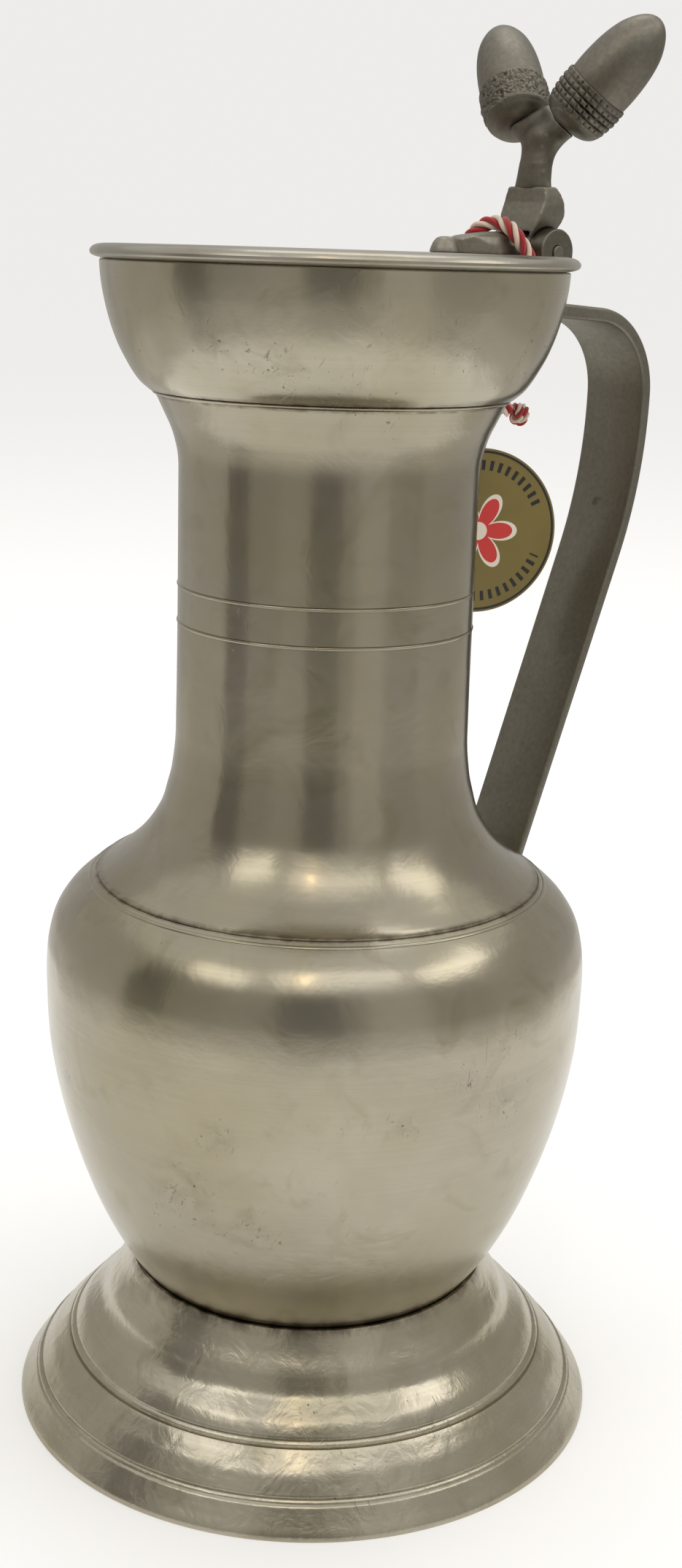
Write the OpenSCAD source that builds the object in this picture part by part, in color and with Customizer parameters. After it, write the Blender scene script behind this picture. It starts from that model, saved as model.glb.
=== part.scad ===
// Pewter flagon: a footed jug with a round belly, a straight neck, a flared cup,
// a strap handle and a flat hinged lid that is lifted by a twin-acorn thumbpiece.
// The origin is on the jug's axis in the plane it stands on, +Z is up and the
// handle is along +X. All lengths are in millimetres.

/* [Foot] */
// Radius of the foot where it stands
foot_r = 64.8; // [60:0.2:72]
// Height of the foot, up to its collar
foot_h = 33.2; // [30:0.2:38]
// Wall of the collar that the belly stands in
collar_wall = 0.8; // [0.6:0.1:2]
// Wall of the foot
foot_wall = 2; // [1.4:0.1:3]

/* [Vessel] */
// Radius of the belly at its lower end
belly_seat_r = 36; // [34:0.1:36.6]
// Largest radius of the belly
belly_r = 58.5; // [54:0.5:62]
// Height of the belly from its seat up to its widest place
belly_low_h = 70; // [60:1:80]
// Height from the widest place up to the shoulder line
belly_top_h = 22.5; // [18:0.5:28]
// Radius at the shoulder line
shoulder_r = 48; // [44:0.5:50]
// Height over which the shoulder sweeps in to the neck
sweep_h = 31; // [26:1:36]
// Radius of the neck
neck_r = 31.1; // [28:0.1:34]
// Height of the straight part of the neck
neck_h = 55; // [40:1:70]
// Height of the flare at the top of the neck
flare_h = 16; // [12:0.5:18]
// Radius at the top of the flare
flare_r = 36.3; // [34:0.1:37]
// Radius of the cup at its lower edge
cup_foot_r = 37.2; // [37:0.1:39]
// Radius of the cup at its rim
cup_r = 47.3; // [45.5:0.1:50]
// Height of the cup
cup_h = 25.3; // [23:0.1:30]
// Wall of the belly, the neck and the cup
vessel_wall = 1.9; // [1.4:0.1:2.6]

/* [Handle] */
// Farthest reach of the handle from the jug's axis
handle_reach = 91.7; // [88:0.1:98]
// Width of the strap
strap_w = 17.4; // [14:0.2:22]
// Thickness of the strap where it leaves the cup
strap_t = 3.3; // [2.6:0.1:4.2]
// Thickness of the strap at its lower end
strap_end_t = 2; // [1.6:0.1:3]
// Drop of the strap below the rim, where it leaves the cup
strap_drop = 6; // [5.6:0.1:7.5]
// Outer radius of the bend at the top
bend_r = 19.5; // [15:0.5:22]
// Radius of the long curve under the bend
back_r = 99; // [85:1:125]
// Lean of the lower stretch towards the belly, in degrees
lean_a = 22.2; // [20:0.2:24]

/* [Hinge] */
// Distance of the hinge pin from the jug's axis
hinge_x = 57.2; // [57:0.1:59]
// Height of the hinge pin above the rim
hinge_rise = 3.8; // [3.4:0.1:4.4]
// Radius of the knuckles
knuckle_r = 5; // [4.4:0.1:5.2]
// Length of the whole barrel
barrel_w = 16.6; // [15:0.2:19]
// Length of the middle knuckle
middle_w = 7.4; // [6:0.1:8]
// Radius of the pin
pin_r = 1.5; // [1.2:0.05:1.8]

/* [Lid] */
// Radius of the lid, over its edge
lid_r = 49.2; // [48.6:0.1:51]
// Height of the lid's top above its underside
lid_h = 3; // [2.4:0.1:4]
// Thickness of the plate inside the edge
lid_t = 1.9; // [1.2:0.1:2.2]
// Depth of the locating ring under the lid
ring_h = 3; // [2:0.2:5]
// Wall of the locating ring
ring_wall = 1.2; // [1:0.1:2]

/* [Thumbpiece] */
// Width of the block over the hinge
block_w = 12.4; // [10:0.2:14]
// Height of the block above the hinge pin
block_h = 13.7; // [12.5:0.1:16]
// Half of the angle between the two acorns, in degrees
acorn_spread_a = 35; // [32:0.5:38]
// Backward lean of the acorns, in degrees
acorn_lean_a = 23; // [18:0.5:27]
// Radius of an acorn's cap at its rim
cap_r = 7.75; // [7.5:0.05:8.3]
// Length of a cap from its stem to its rim
cap_h = 10.2; // [9.6:0.1:11.6]
// Radius of an acorn's nut
nut_r = 7.25; // [6.4:0.05:7.4]
// Length of a nut beyond its cap
nut_h = 18.6; // [16:0.2:22]

/* [Cord and tag] */
// Thickness of the cord
cord_d = 3.2; // [2.6:0.1:3.4]
// Radius of the tag
tag_r = 19; // [16:0.5:22]
// Thickness of the tag
tag_t = 1; // [0.6:0.1:1.6]

/* [Hidden] */
$fn = 96;

// Clearances and small shared sizes
overrun = 1;
seat_gap = 0.15;
soft_gap = 0.3;
pin_gap = 0.05;
side_gap = 0.3;
ring_gap = 0.7;
groove_w = 0.9;
groove_depth = 0.35;
span_steps = 6;

// Levels along the jug's axis
seat_depth = 3.2;
seat_t = 2.5;
seat_z = foot_h - seat_depth;
widest_z = seat_z + belly_low_h;
shoulder_z = widest_z + belly_top_h;
sweep_z = shoulder_z + sweep_h;
flare_z = sweep_z + neck_h;
step_z = flare_z + flare_h;
rim_z = step_z + cup_h;
lid_z = rim_z + seat_gap;
hinge_z = rim_z + hinge_rise;

// Foot
collar_gap = 0.4;
collar_room = 2.3;
collar_bore_r = belly_seat_r + collar_room + collar_gap;
collar_r = collar_bore_r + collar_wall;
foot_seat_r = belly_seat_r - 8;
foot_rim_w = 4;
foot_rim_t = 2.2;
foot_line_shares = [0.18, 0.44];
foot_curve_shares = [[0, 1], [0.05, 0.98], [0.12, 0.882], [0.22, 0.768], [0.33, 0.642], [0.44, 0.527],
    [0.53, 0.42], [0.63, 0.29], [0.76, 0.2], [0.88, 0.09], [1, 0]];
disc_t = 1.6;
disc_gap = 0.25;

// Vessel: every outline is a list of shares of its height and of its change of radius
belly_low_shares = [[0, 0], [0.1, 0.23], [0.17, 0.36], [0.26, 0.5], [0.35, 0.615], [0.47, 0.745],
    [0.59, 0.85], [0.71, 0.93], [0.83, 0.98], [1, 1]];
belly_top_shares = [[0, 0], [0.2, 0.01], [0.38, 0.055], [0.6, 0.19], [0.78, 0.44], [0.9, 0.71], [1, 1]];
sweep_shares = [[0, 0], [0.06, 0.17], [0.115, 0.3], [0.19, 0.46], [0.28, 0.61], [0.38, 0.735],
    [0.48, 0.83], [0.6, 0.895], [0.74, 0.955], [1, 1]];
flare_shares = [[0, 0], [0.2, 0.04], [0.4, 0.18], [0.55, 0.34], [0.7, 0.56], [0.85, 0.78], [1, 1]];
cup_shares = [[0, 0], [0.06, 0.18], [0.13, 0.32], [0.225, 0.465], [0.33, 0.605], [0.43, 0.71],
    [0.53, 0.795], [0.64, 0.87], [0.76, 0.935], [0.88, 0.98], [1, 1]];
neck_line_shares = [0.43, 0.57];

// Handle
top_slope_a = 3.9;
strap_z = rim_z - strap_drop;
bend_x = handle_reach - bend_r;
strap_run = bend_x + bend_r * sin(top_slope_a) - cup_r;
bend_z = strap_z - strap_run * tan(top_slope_a) - bend_r * cos(top_slope_a);
back_x = handle_reach - back_r;
strap_edge_r = 0.6;
strap_tail = 20;
strap_bury = 8;

// Hinge
bracket_low_z = strap_z - strap_t;
bracket_in = 2.8;
bracket_out = 3.2;
bracket_top_gap = 0.5;
pin_dome = 0.4;

// Lid
ring_r = cup_r - vessel_wall - ring_gap;
lid_top_shares = [[0, 1], [0.6, 0.985], [0.88, 0.95], [0.935, 0.87], [0.97, 0.68], [0.99, 0.52], [1, 0.4]];
lid_under_shares = [[0.97, 0.33], [0.6, 0.2], [0.2, 0.06], [-0.1, 0]];

// Lid tongue: places along X, from the jug's axis, and heights over the lid's underside
tongue_half_w = 4;
tongue_low = 1.6;
knob_x = 30.8;
knob_r = 2.9;
knob_h = 6.3;
knob_shares = [[1.12, 0], [1.12, 0.28], [1.02, 0.5], [0.84, 0.76], [0.6, 0.93], [0.3, 0.99], [0, 1]];
waist_x = 33.6;
waist_h = 6;
lobe_x = 44;
lobe_h = 7.6;
root_x = hinge_x - knuckle_r;
tongue_section_shares = [[1, 0], [1, 0.42], [0.93, 0.62], [0.78, 0.79], [0.55, 0.91], [0.28, 0.98], [0, 1]];

// Thumb block, in shares of its height above the hinge pin
block_front_shares = [[-0.38, 0.2], [-0.32, 0.4], [-0.26, 0.57], [-0.18, 0.77], [-0.15, 1]];
block_back_shares = [[0.12, 1], [0.21, 0.9], [0.28, 0.76], [0.3, 0.62], [0.29, 0.47], [0.24, 0.38]];
block_width_shares = [[0.66, 0.2], [0.84, 0.39], [0.98, 0.56], [1, 0.72], [0.96, 0.86], [0.88, 1]];
block_foot_share = [0.2, 0.2];
stem_w = 9.6;
stem_t = 5;
stem_x = hinge_x;
stem_rise = 9.6;
// Slices of the stem: height, sideways shift and width
stem_shares = [[0, 0, 1.08], [0.1, 0, 0.98], [0.52, 0.05, 0.9], [0.8, 0.13, 0.99], [1, 0.22, 1.28]];
crotch_h = 11.8;
crotch_r = 1.5;

// Acorns: both start from one point behind the stem
apex_back = 1.6;
apex_rise = 17.6;
apex_x = hinge_x - apex_back;
apex_z = hinge_z + apex_rise;
cap_start = 11.4;
arm_share = 0.34;
cap_lip = 0.9;
cap_line_r = 0.7;
cap_line_shares = [0.5, 0.66, 0.82];
slice_t = 0.4;
cap_curve_shares = [[0, 0.42], [0.05, 0.57], [0.13, 0.71], [0.24, 0.82], [0.38, 0.91], [0.55, 0.97],
    [0.75, 1], [1, 0.985]];
nut_curve_shares = [[0, 0.98], [0.14, 1], [0.3, 0.99], [0.46, 0.95], [0.6, 0.88], [0.73, 0.77],
    [0.84, 0.61], [0.92, 0.44], [0.97, 0.27], [0.992, 0.13], [1, 0]];
nut_gap = 0.1;

// Cord: the ball of its hitch lies on the hinge's line, just past the barrel
cord_sides = 8;
hitch_r = 3.3;
hitch_y = 12.6;
knot_r = 3.1;
end_r = 2.7;
tie_r = 2.9;
loop_points = [[54.7, 12.4, 250.9], [53.2, 11.9, 250.0], [51.9, 10.6, 249.7], [51.2, 8.6, 249.8],
    [51.2, 6.0, 249.6], [51.4, 3.0, 249.4], [51.4, 0, 249.3], [51.4, -3.0, 249.4], [51.1, -5.4, 250.3],
    [50.0, -6.4, 252.4], [48.4, -6.2, 254.7], [47.2, -5.2, 256.8], [46.8, -3.2, 258.6],
    [46.7, -0.8, 259.4], [45.9, 1.2, 259.4], [45.0, 3.0, 258.7], [44.4, 4.6, 257.5], [44.4, 5.8, 256.2],
    [45.2, 7.6, 255.2], [46.8, 9.6, 254.8], [48.6, 11.4, 254.9], [51.0, 12.6, 254.9], [53.5, 12.9, 254.7]];
drop_points = [[57.2, 12.6, 250.2], [57.2, 12.7, 247.0], [57.0, 12.8, 243.0], [56.5, 12.9, 239.0],
    [55.9, 13.0, 235.0], [55.3, 13.0, 231.0], [54.7, 13.0, 227.0], [54.1, 13.0, 223.2]];
low_points = [[53.7, 13.0, 216.8], [53.3, 12.9, 214.8], [52.8, 12.7, 212.4], [52.2, 12.2, 210.2],
    [51.9, 12.0, 208.4]];
tail_points = [[57.1, 12.3, 219.9], [58.7, 11.7, 219.7], [60.5, 11.0, 219.3], [62.3, 10.3, 218.8],
    [63.8, 9.8, 218.3]];
knot_point = [53.9, 13.0, 220.0];
end_point = [66.5, 9.1, 217.4];

// Tag: it hangs from its hole, and turns in until its edge clears the strap
hang_point = [52.6, 14.4, 205.1];
hole_u = -5.5;
hole_v = 14.3;
tag_edge_gap = 17.1;
tag_turn_a = acos(min(1, (handle_reach - tag_edge_gap - hang_point[0]) / (tag_r - hole_u)));
tie_side = 0.16;
tie_out = 1.92;
hole_r = 3;

function mix(a, b, t) = a + (b - a) * t;

// Points [radius, height] of an outline between two heights and two radii
function curve(z0, z1, r0, r1, shares) =
    [for (s = shares) [mix(r0, r1, s[1]), mix(z0, z1, s[0])]];

// Smooth line through points whose height rises from each to the next
function grade(p, i) =
    let (a = p[max(i - 1, 0)], b = p[min(i + 1, len(p) - 1)]) (b[0] - a[0]) / (b[1] - a[1]);
function between(p, i, t) =
    let (h = p[i + 1][1] - p[i][1], t2 = t * t, t3 = t2 * t)
    [(2 * t3 - 3 * t2 + 1) * p[i][0] + (t3 - 2 * t2 + t) * h * grade(p, i)
        + (3 * t2 - 2 * t3) * p[i + 1][0] + (t3 - t2) * h * grade(p, i + 1), p[i][1] + t * h];
function smooth(p) = concat(
    [for (i = [0:len(p) - 2]) for (k = [0:span_steps - 1]) between(p, i, k / span_steps)],
    [p[len(p) - 1]]);

// Inner side of a wall: each point goes in along the outline's normal
function normal_at(p, i) =
    let (a = p[max(i - 1, 0)], b = p[min(i + 1, len(p) - 1)], d = b - a)
    [d[1], -d[0]] / norm(d);
function inner_side(p, wall) =
    let (n = len(p) - 1, low = p[0], high = p[n])
    concat(
        [[low[0] - wall / normal_at(p, 0)[0], low[1]]],
        [for (i = [1:n - 1]) let (q = p[i] - wall * normal_at(p, i))
            if (q[1] > low[1] + groove_w && q[1] < high[1] - groove_w) q],
        [[high[0] - wall / normal_at(p, n)[0], high[1]]]);
function reversed(p) = [for (i = [len(p) - 1:-1:0]) p[i]];
function wall_outline(p, wall) = concat(p, reversed(inner_side(p, wall)));

foot_line = smooth(curve(0, foot_h, collar_r, foot_r, foot_curve_shares));
belly_line = smooth(concat(
    curve(seat_z, widest_z, belly_seat_r, belly_r, belly_low_shares),
    [for (s = belly_top_shares) if (s[0] > 0)
        [mix(belly_r, shoulder_r, s[1]), mix(widest_z, shoulder_z, s[0])]]));
neck_line = smooth(concat(
    curve(shoulder_z, sweep_z, shoulder_r, neck_r, sweep_shares),
    curve(flare_z, step_z, neck_r, flare_r, flare_shares)));
cup_line = smooth(curve(step_z, rim_z, cup_foot_r, cup_r, cup_shares));

// Radius of a line at a height, for the grooves
function radius_at(p, z) = lookup(z, [for (q = p) [q[1], q[0]]]);

module turned(outline) {
    rotate_extrude() polygon(outline);
}

// A fine turned line: a V-shaped groove around the wall
module groove(p, z) {
    r = radius_at(p, z);
    turned([[r - groove_depth, z], [r + overrun, z - groove_w], [r + overrun, z + groove_w]]);
}

module foot() color([0.62, 0.6, 0.56])
    difference() {
        union() {
            turned(wall_outline(foot_line, foot_wall));
            turned([[foot_seat_r, seat_z - seat_t], [collar_r + foot_wall, seat_z - seat_t],
                [collar_r, seat_z], [foot_seat_r, seat_z]]);
            turned([[foot_r - foot_rim_w, 0], [foot_r, 0], [foot_r - foot_rim_t, foot_rim_t],
                [foot_r - foot_rim_w, foot_rim_t]]);
        }
        translate([0, 0, seat_z]) cylinder(h = foot_h, r = collar_bore_r);
        for (s = foot_line_shares) groove(foot_line, s * foot_h);
    }

module base_disc() color([0.55, 0.53, 0.5]) {
    r = inner_side(belly_line, vessel_wall)[0][0] - disc_gap;
    translate([0, 0, seat_z]) cylinder(h = disc_t, r = r);
}

module belly() color([0.66, 0.64, 0.6])
    turned(wall_outline(belly_line, vessel_wall));

module neck() color([0.64, 0.62, 0.58])
    difference() {
        turned(wall_outline(neck_line, vessel_wall));
        for (s = neck_line_shares) groove(neck_line, mix(sweep_z, flare_z, s));
        turned([[shoulder_r - groove_depth, shoulder_z], [shoulder_r + overrun, shoulder_z - overrun],
            [shoulder_r + overrun, shoulder_z + groove_w], [shoulder_r - groove_depth, shoulder_z + groove_w]]);
    }

module cup() color([0.66, 0.64, 0.6])
    turned(wall_outline(cup_line, vessel_wall));

// Outer line of the strap, from inside the cup wall down to inside the belly
strap_line = concat(
    [[neck_r, strap_z + (cup_r - neck_r) * tan(top_slope_a)]],
    [for (a = [90 - top_slope_a:-(90 - top_slope_a) / 16:0]) [bend_x + bend_r * cos(a), bend_z + bend_r * sin(a)]],
    [for (k = [1:8]) let (a = -lean_a * k / 8) [back_x + back_r * cos(a), bend_z + back_r * sin(a)]]);
strap_end = let (a = -lean_a, q = [back_x + back_r * cos(a), bend_z + back_r * sin(a)],
    run = max((q[1] - shoulder_z + strap_tail) / cos(lean_a), (q[0] - belly_r + strap_bury) / sin(lean_a)))
    q + run * [-sin(lean_a), -cos(lean_a)];
strap_outer = concat(strap_line, [strap_end]);
strap_inner = [for (i = [0:len(strap_outer) - 1])
    let (n = normal_at(strap_outer, i), t = mix(strap_t, strap_end_t, i / (len(strap_outer) - 1)))
    strap_outer[i] + t * n];

module strap_solid() {
    rotate([90, 0, 0]) translate([0, 0, -strap_w / 2])
        linear_extrude(strap_w) polygon(concat(strap_outer, reversed(strap_inner)));
}

module vessel_core() {
    turned(concat([[0, seat_z]], belly_line, neck_line, cup_line, [[0, rim_z]]));
}

module handle() color([0.42, 0.41, 0.36])
    difference() {
        strap_solid();
        vessel_core();
    }

module hinge_cylinder(r, y0, y1) {
    translate([hinge_x, y1, hinge_z]) rotate([90, 0, 0]) cylinder(h = y1 - y0, r = r);
}

// Two knuckles over a block that stands on the strap
module hinge_bracket() color([0.42, 0.41, 0.36])
    difference() {
        union() {
            hinge_cylinder(knuckle_r, -barrel_w / 2, barrel_w / 2);
            translate([hinge_x - bracket_in, -barrel_w / 2, bracket_low_z])
                cube([bracket_in + bracket_out, barrel_w, hinge_z - bracket_low_z]);
        }
        hinge_cylinder(pin_r + pin_gap, -barrel_w, barrel_w);
        translate([hinge_x - 2 * knuckle_r, -middle_w / 2 - side_gap, hinge_z - knuckle_r - bracket_top_gap])
            cube([4 * knuckle_r, middle_w + 2 * side_gap, 4 * knuckle_r]);
        strap_solid();
        translate([hinge_x - 2 * knuckle_r, -barrel_w, bracket_low_z - strap_t])
            cube([4 * knuckle_r, 2 * barrel_w, strap_t * 2 - seat_gap]);
    }

module hinge_pin() color([0.5, 0.49, 0.45])
    hinge_cylinder(pin_r, -barrel_w / 2 - pin_dome, barrel_w / 2 + pin_dome);

// The lid's section: a low plateau, a bevelled edge and a shallow hollow inside the locating ring
module lid_solid() {
    turned(concat(
        [for (s = lid_top_shares) [lid_r * s[0], lid_z + lid_h * s[1]]],
        [for (s = lid_under_shares) [cup_r + (lid_r - cup_r) * s[0], lid_z + lid_h * s[1]]],
        [[ring_r - ring_wall, lid_z], [ring_r - 2 * ring_wall, lid_z + lid_h - lid_t],
            [0, lid_z + lid_h - lid_t]]));
}

module lid_plate() color([0.6, 0.58, 0.55]) lid_solid();

module lid_ring() color([0.58, 0.56, 0.53])
    turned([[ring_r - ring_wall, lid_z - ring_h], [ring_r, lid_z - ring_h], [ring_r, lid_z],
        [ring_r - ring_wall, lid_z]]);

// Side outline of the tongue: a knob, a waist, a lobe and the root at the knuckle
tongue_side = concat(
    [[knob_x, lid_z + tongue_low], [knob_x, lid_z + knob_h]],
    [[waist_x, lid_z + waist_h], [mix(waist_x, lobe_x, 0.3), lid_z + mix(waist_h, lobe_h, 0.42)],
        [lobe_x, lid_z + lobe_h], [root_x, lid_z + lobe_h * 1.03], [hinge_x, hinge_z + knuckle_r],
        [hinge_x, lid_z + tongue_low]]);

// The tongue lies on the lid, which cuts its underside, and ends in the middle knuckle
module lid_tongue() color([0.44, 0.43, 0.38])
    difference() {
        union() {
            translate([knob_x, 0, lid_z])
                turned(concat([[0, tongue_low]],
                    [for (s = knob_shares) [knob_r * s[0], mix(tongue_low, knob_h, s[1])]]));
            intersection() {
                rotate([90, 0, 0]) translate([0, 0, -tongue_half_w])
                    linear_extrude(2 * tongue_half_w) polygon(tongue_side);
                translate([0, 0, lid_z]) linear_extrude(2 * lobe_h)
                    polygon([[knob_x, -knob_r * 0.7], [waist_x, -knob_r * 0.8],
                        [mix(waist_x, lobe_x, 0.6), -tongue_half_w * 0.9], [lobe_x, -tongue_half_w],
                        [root_x - tongue_half_w / 2, -middle_w / 2], [hinge_x, -middle_w / 2],
                        [hinge_x, middle_w / 2], [root_x - tongue_half_w / 2, middle_w / 2],
                        [lobe_x, tongue_half_w], [mix(waist_x, lobe_x, 0.6), tongue_half_w * 0.9],
                        [waist_x, knob_r * 0.8], [knob_x, knob_r * 0.7]]);
                translate([0, 0, lid_z]) rotate([90, 0, 90]) linear_extrude(2 * hinge_x)
                    polygon(concat(
                        [for (s = tongue_section_shares) [tongue_half_w * s[0], lobe_h * 1.06 * s[1]]],
                        [for (s = reversed(tongue_section_shares)) [-tongue_half_w * s[0], lobe_h * 1.06 * s[1]]]));
            }
            hinge_cylinder(knuckle_r, -middle_w / 2, middle_w / 2);
        }
        hinge_cylinder(pin_r + pin_gap, -barrel_w, barrel_w);
        lid_solid();
    }

// The block stands on the middle knuckle and reaches over the fixed ones
module thumb_block() color([0.44, 0.43, 0.38])
    difference() {
        intersection() {
            translate([hinge_x, block_w / 2, hinge_z]) rotate([90, 0, 0]) linear_extrude(block_w)
                polygon(block_h * concat(block_front_shares, block_back_shares, [block_foot_share]));
            translate([hinge_x - block_h, 0, hinge_z]) rotate([90, 0, 90]) linear_extrude(2 * block_h)
                polygon(concat(
                    [for (s = block_width_shares) [s[0] * block_w / 2, s[1] * block_h]],
                    [for (s = reversed(block_width_shares)) [-s[0] * block_w / 2, s[1] * block_h]]));
        }
        hinge_cylinder(knuckle_r + side_gap, -barrel_w, -middle_w / 2);
        hinge_cylinder(knuckle_r + side_gap, middle_w / 2, barrel_w);
        hinge_cylinder(knuckle_r, -middle_w, middle_w);
        rotate([90, 0, 0]) translate([0, 0, -tongue_half_w]) linear_extrude(2 * tongue_half_w)
            polygon(tongue_side);
    }

// Moves a shape that stands on +Z to an acorn's axis, at a distance from the apex
module on_acorn(side, along) {
    translate([apex_x, 0, apex_z]) rotate([0, acorn_lean_a, 0]) rotate([-side * acorn_spread_a, 0, 0])
        translate([0, 0, along]) children();
}

cap_outline = concat([[0, 0]], smooth([for (s = cap_curve_shares) [cap_r * s[1], cap_h * s[0]]]), [[0, cap_h]]);

// A flat stem that leans back, widens and splits in two short arms with a web between them
module stem_slice(s) {
    translate([stem_x + stem_rise * s[1], 0, hinge_z + block_h + stem_rise * s[0]])
        rotate([0, acorn_lean_a * s[0] * s[0], 0]) scale([stem_t / stem_w, s[2], 1])
        cylinder(h = slice_t, r = stem_w / 2, $fn = 32);
}
module thumb_stem() color([0.44, 0.43, 0.38])
    difference() {
        union() {
            for (i = [1:len(stem_shares) - 1]) hull() {
                stem_slice(stem_shares[i - 1]);
                stem_slice(stem_shares[i]);
            }
            for (side = [-1, 1]) hull() {
                stem_slice(stem_shares[len(stem_shares) - 1]);
                on_acorn(side, cap_start - slice_t) cylinder(h = 2 * slice_t, r = cap_r * arm_share, $fn = 32);
                translate([apex_x + crotch_h * tan(acorn_lean_a), 0, apex_z + crotch_h]) sphere(r = crotch_r, $fn = 24);
            }
        }
        for (side = [-1, 1]) on_acorn(side, cap_start) turned(cap_outline);
    }

module acorn_cap(side) {
    on_acorn(side, cap_start) difference() {
        turned(cap_outline);
        translate([0, 0, cap_h - cap_lip]) cylinder(h = cap_h, r = nut_r + nut_gap);
        for (s = cap_line_shares) translate([0, 0, cap_h * s]) rotate_extrude()
            translate([cap_r + cap_line_r / 2, 0]) circle(r = cap_line_r, $fn = 16);
    }
}

module acorn_nut(side) {
    on_acorn(side, cap_start + cap_h - cap_lip)
        turned(concat([[0, 0]],
            smooth([for (s = nut_curve_shares) [nut_r * s[1], (nut_h + cap_lip) * s[0]]])));
}

module acorn_cap_left() color([0.4, 0.39, 0.34]) acorn_cap(1);
module acorn_cap_right() color([0.4, 0.39, 0.34]) acorn_cap(-1);
module acorn_nut_left() color([0.5, 0.48, 0.44]) acorn_nut(1);
module acorn_nut_right() color([0.5, 0.48, 0.44]) acorn_nut(-1);

// A tube along a route: one ring of points at each of its places
function heading(p, i) =
    let (d = p[min(i + 1, len(p) - 1)] - p[max(i - 1, 0)]) d / norm(d);
function ring_frame(d) =
    let (up = abs(d[2]) > 0.9 ? [1, 0, 0] : [0, 0, 1], a = cross(up, d), u = a / norm(a)) [u, cross(d, u)];
function carried(d, u) = let (v = u - (u * d) * d, w = v / norm(v)) [w, cross(d, w)];
function frames(p, i, got) =
    i == len(p) ? got
        : frames(p, i + 1, concat(got, [i == 0 ? ring_frame(heading(p, 0)) : carried(heading(p, i), got[i - 1][0])]));
function between3(p, i, t) =
    let (a = p[max(i - 1, 0)], b = p[i], c = p[i + 1], d = p[min(i + 2, len(p) - 1)], t2 = t * t, t3 = t2 * t)
    0.5 * (2 * b + (c - a) * t + (2 * a - 5 * b + 4 * c - d) * t2 + (3 * b - a - 3 * c + d) * t3);
function route(p, steps) = concat(
    [for (i = [0:len(p) - 2]) for (k = [0:steps - 1]) between3(p, i, k / steps)], [p[len(p) - 1]]);

module tube(points, steps) {
    p = route(points, steps);
    f = frames(p, 0, []);
    n = cord_sides;
    rings = [for (i = [0:len(p) - 1]) for (k = [0:n - 1])
        p[i] + cord_d / 2 * (cos(360 * k / n) * f[i][0] + sin(360 * k / n) * f[i][1])];
    last = len(p) - 1;
    sides = [for (i = [0:last - 1]) for (k = [0:n - 1])
        let (a = i * n + k, b = i * n + (k + 1) % n) each [[a, a + n, b + n], [a, b + n, b]]];
    ends = [[for (k = [0:n - 1]) k], [for (k = [n - 1:-1:0]) last * n + k]];
    polyhedron(points = rings, faces = concat(sides, ends));
}

module tag_cord_loop() color([0.78, 0.2, 0.18]) tube(loop_points, 2);
module tag_cord_hitch() color([0.78, 0.2, 0.18])
    translate([hinge_x, hitch_y, hinge_z]) sphere(r = hitch_r, $fn = 48);
module tag_cord_drop() color([0.78, 0.2, 0.18]) tube(drop_points, 1);
module tag_cord_low() color([0.78, 0.2, 0.18]) tube(low_points, 1);
module tag_cord_knot() color([0.78, 0.2, 0.18]) translate(knot_point) sphere(r = knot_r, $fn = 48);
module tag_cord_tail() color([0.78, 0.2, 0.18]) tube(tail_points, 1);
module tag_cord_end() color([0.78, 0.2, 0.18]) translate(end_point) sphere(r = end_r, $fn = 48);
// Places a shape on the tag's face, measured from its hole
module on_tag() {
    translate(hang_point) rotate([0, 0, -tag_turn_a]) rotate([90, 0, 0]) children();
}
module tag_cord_tie() color([0.78, 0.2, 0.18])
    on_tag() translate([tie_side, 0, tie_out]) sphere(r = tie_r, $fn = 48);

module tag_disc() color([0.6, 0.54, 0.26])
    on_tag() difference() {
        translate([-hole_u, -hole_v, -tag_t / 2]) cylinder(h = tag_t, r = tag_r);
        translate([0, 0, -tag_t]) cylinder(h = 2 * tag_t, r = hole_r);
    }

foot();
base_disc();
belly();
neck();
cup();
handle();
hinge_bracket();
hinge_pin();
lid_plate();
lid_ring();
lid_tongue();
thumb_block();
thumb_stem();
acorn_cap_left();
acorn_cap_right();
acorn_nut_left();
acorn_nut_right();
tag_cord_loop();
tag_cord_hitch();
tag_cord_drop();
tag_cord_knot();
tag_cord_low();
tag_cord_tail();
tag_cord_end();
tag_cord_tie();
tag_disc();
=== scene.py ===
import math

import bpy
from mathutils import Matrix, Vector, noise


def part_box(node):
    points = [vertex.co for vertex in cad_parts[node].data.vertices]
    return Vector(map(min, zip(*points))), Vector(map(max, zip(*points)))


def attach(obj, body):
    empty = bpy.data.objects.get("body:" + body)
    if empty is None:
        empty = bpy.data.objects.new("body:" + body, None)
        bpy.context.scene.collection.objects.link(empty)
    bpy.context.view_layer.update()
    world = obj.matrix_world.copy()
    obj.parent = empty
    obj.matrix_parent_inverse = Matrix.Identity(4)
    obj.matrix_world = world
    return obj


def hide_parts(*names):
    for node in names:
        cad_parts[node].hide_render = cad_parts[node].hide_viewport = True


mm = 0.001
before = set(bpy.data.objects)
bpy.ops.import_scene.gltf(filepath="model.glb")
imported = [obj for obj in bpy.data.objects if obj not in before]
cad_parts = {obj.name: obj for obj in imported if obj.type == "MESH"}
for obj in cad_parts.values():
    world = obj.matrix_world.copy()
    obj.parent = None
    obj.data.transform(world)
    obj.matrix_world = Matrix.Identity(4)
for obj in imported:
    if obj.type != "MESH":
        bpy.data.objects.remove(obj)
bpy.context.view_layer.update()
print("frame loaded,", len(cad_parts), "nodes")


# small helpers

def deselectAll():
    if bpy.context.object and bpy.context.object.mode != "OBJECT":
        bpy.ops.object.mode_set(mode="OBJECT")
    bpy.ops.object.select_all(action="DESELECT")


def activate(piece):
    deselectAll()
    piece.select_set(True)
    bpy.context.view_layer.objects.active = piece


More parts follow.
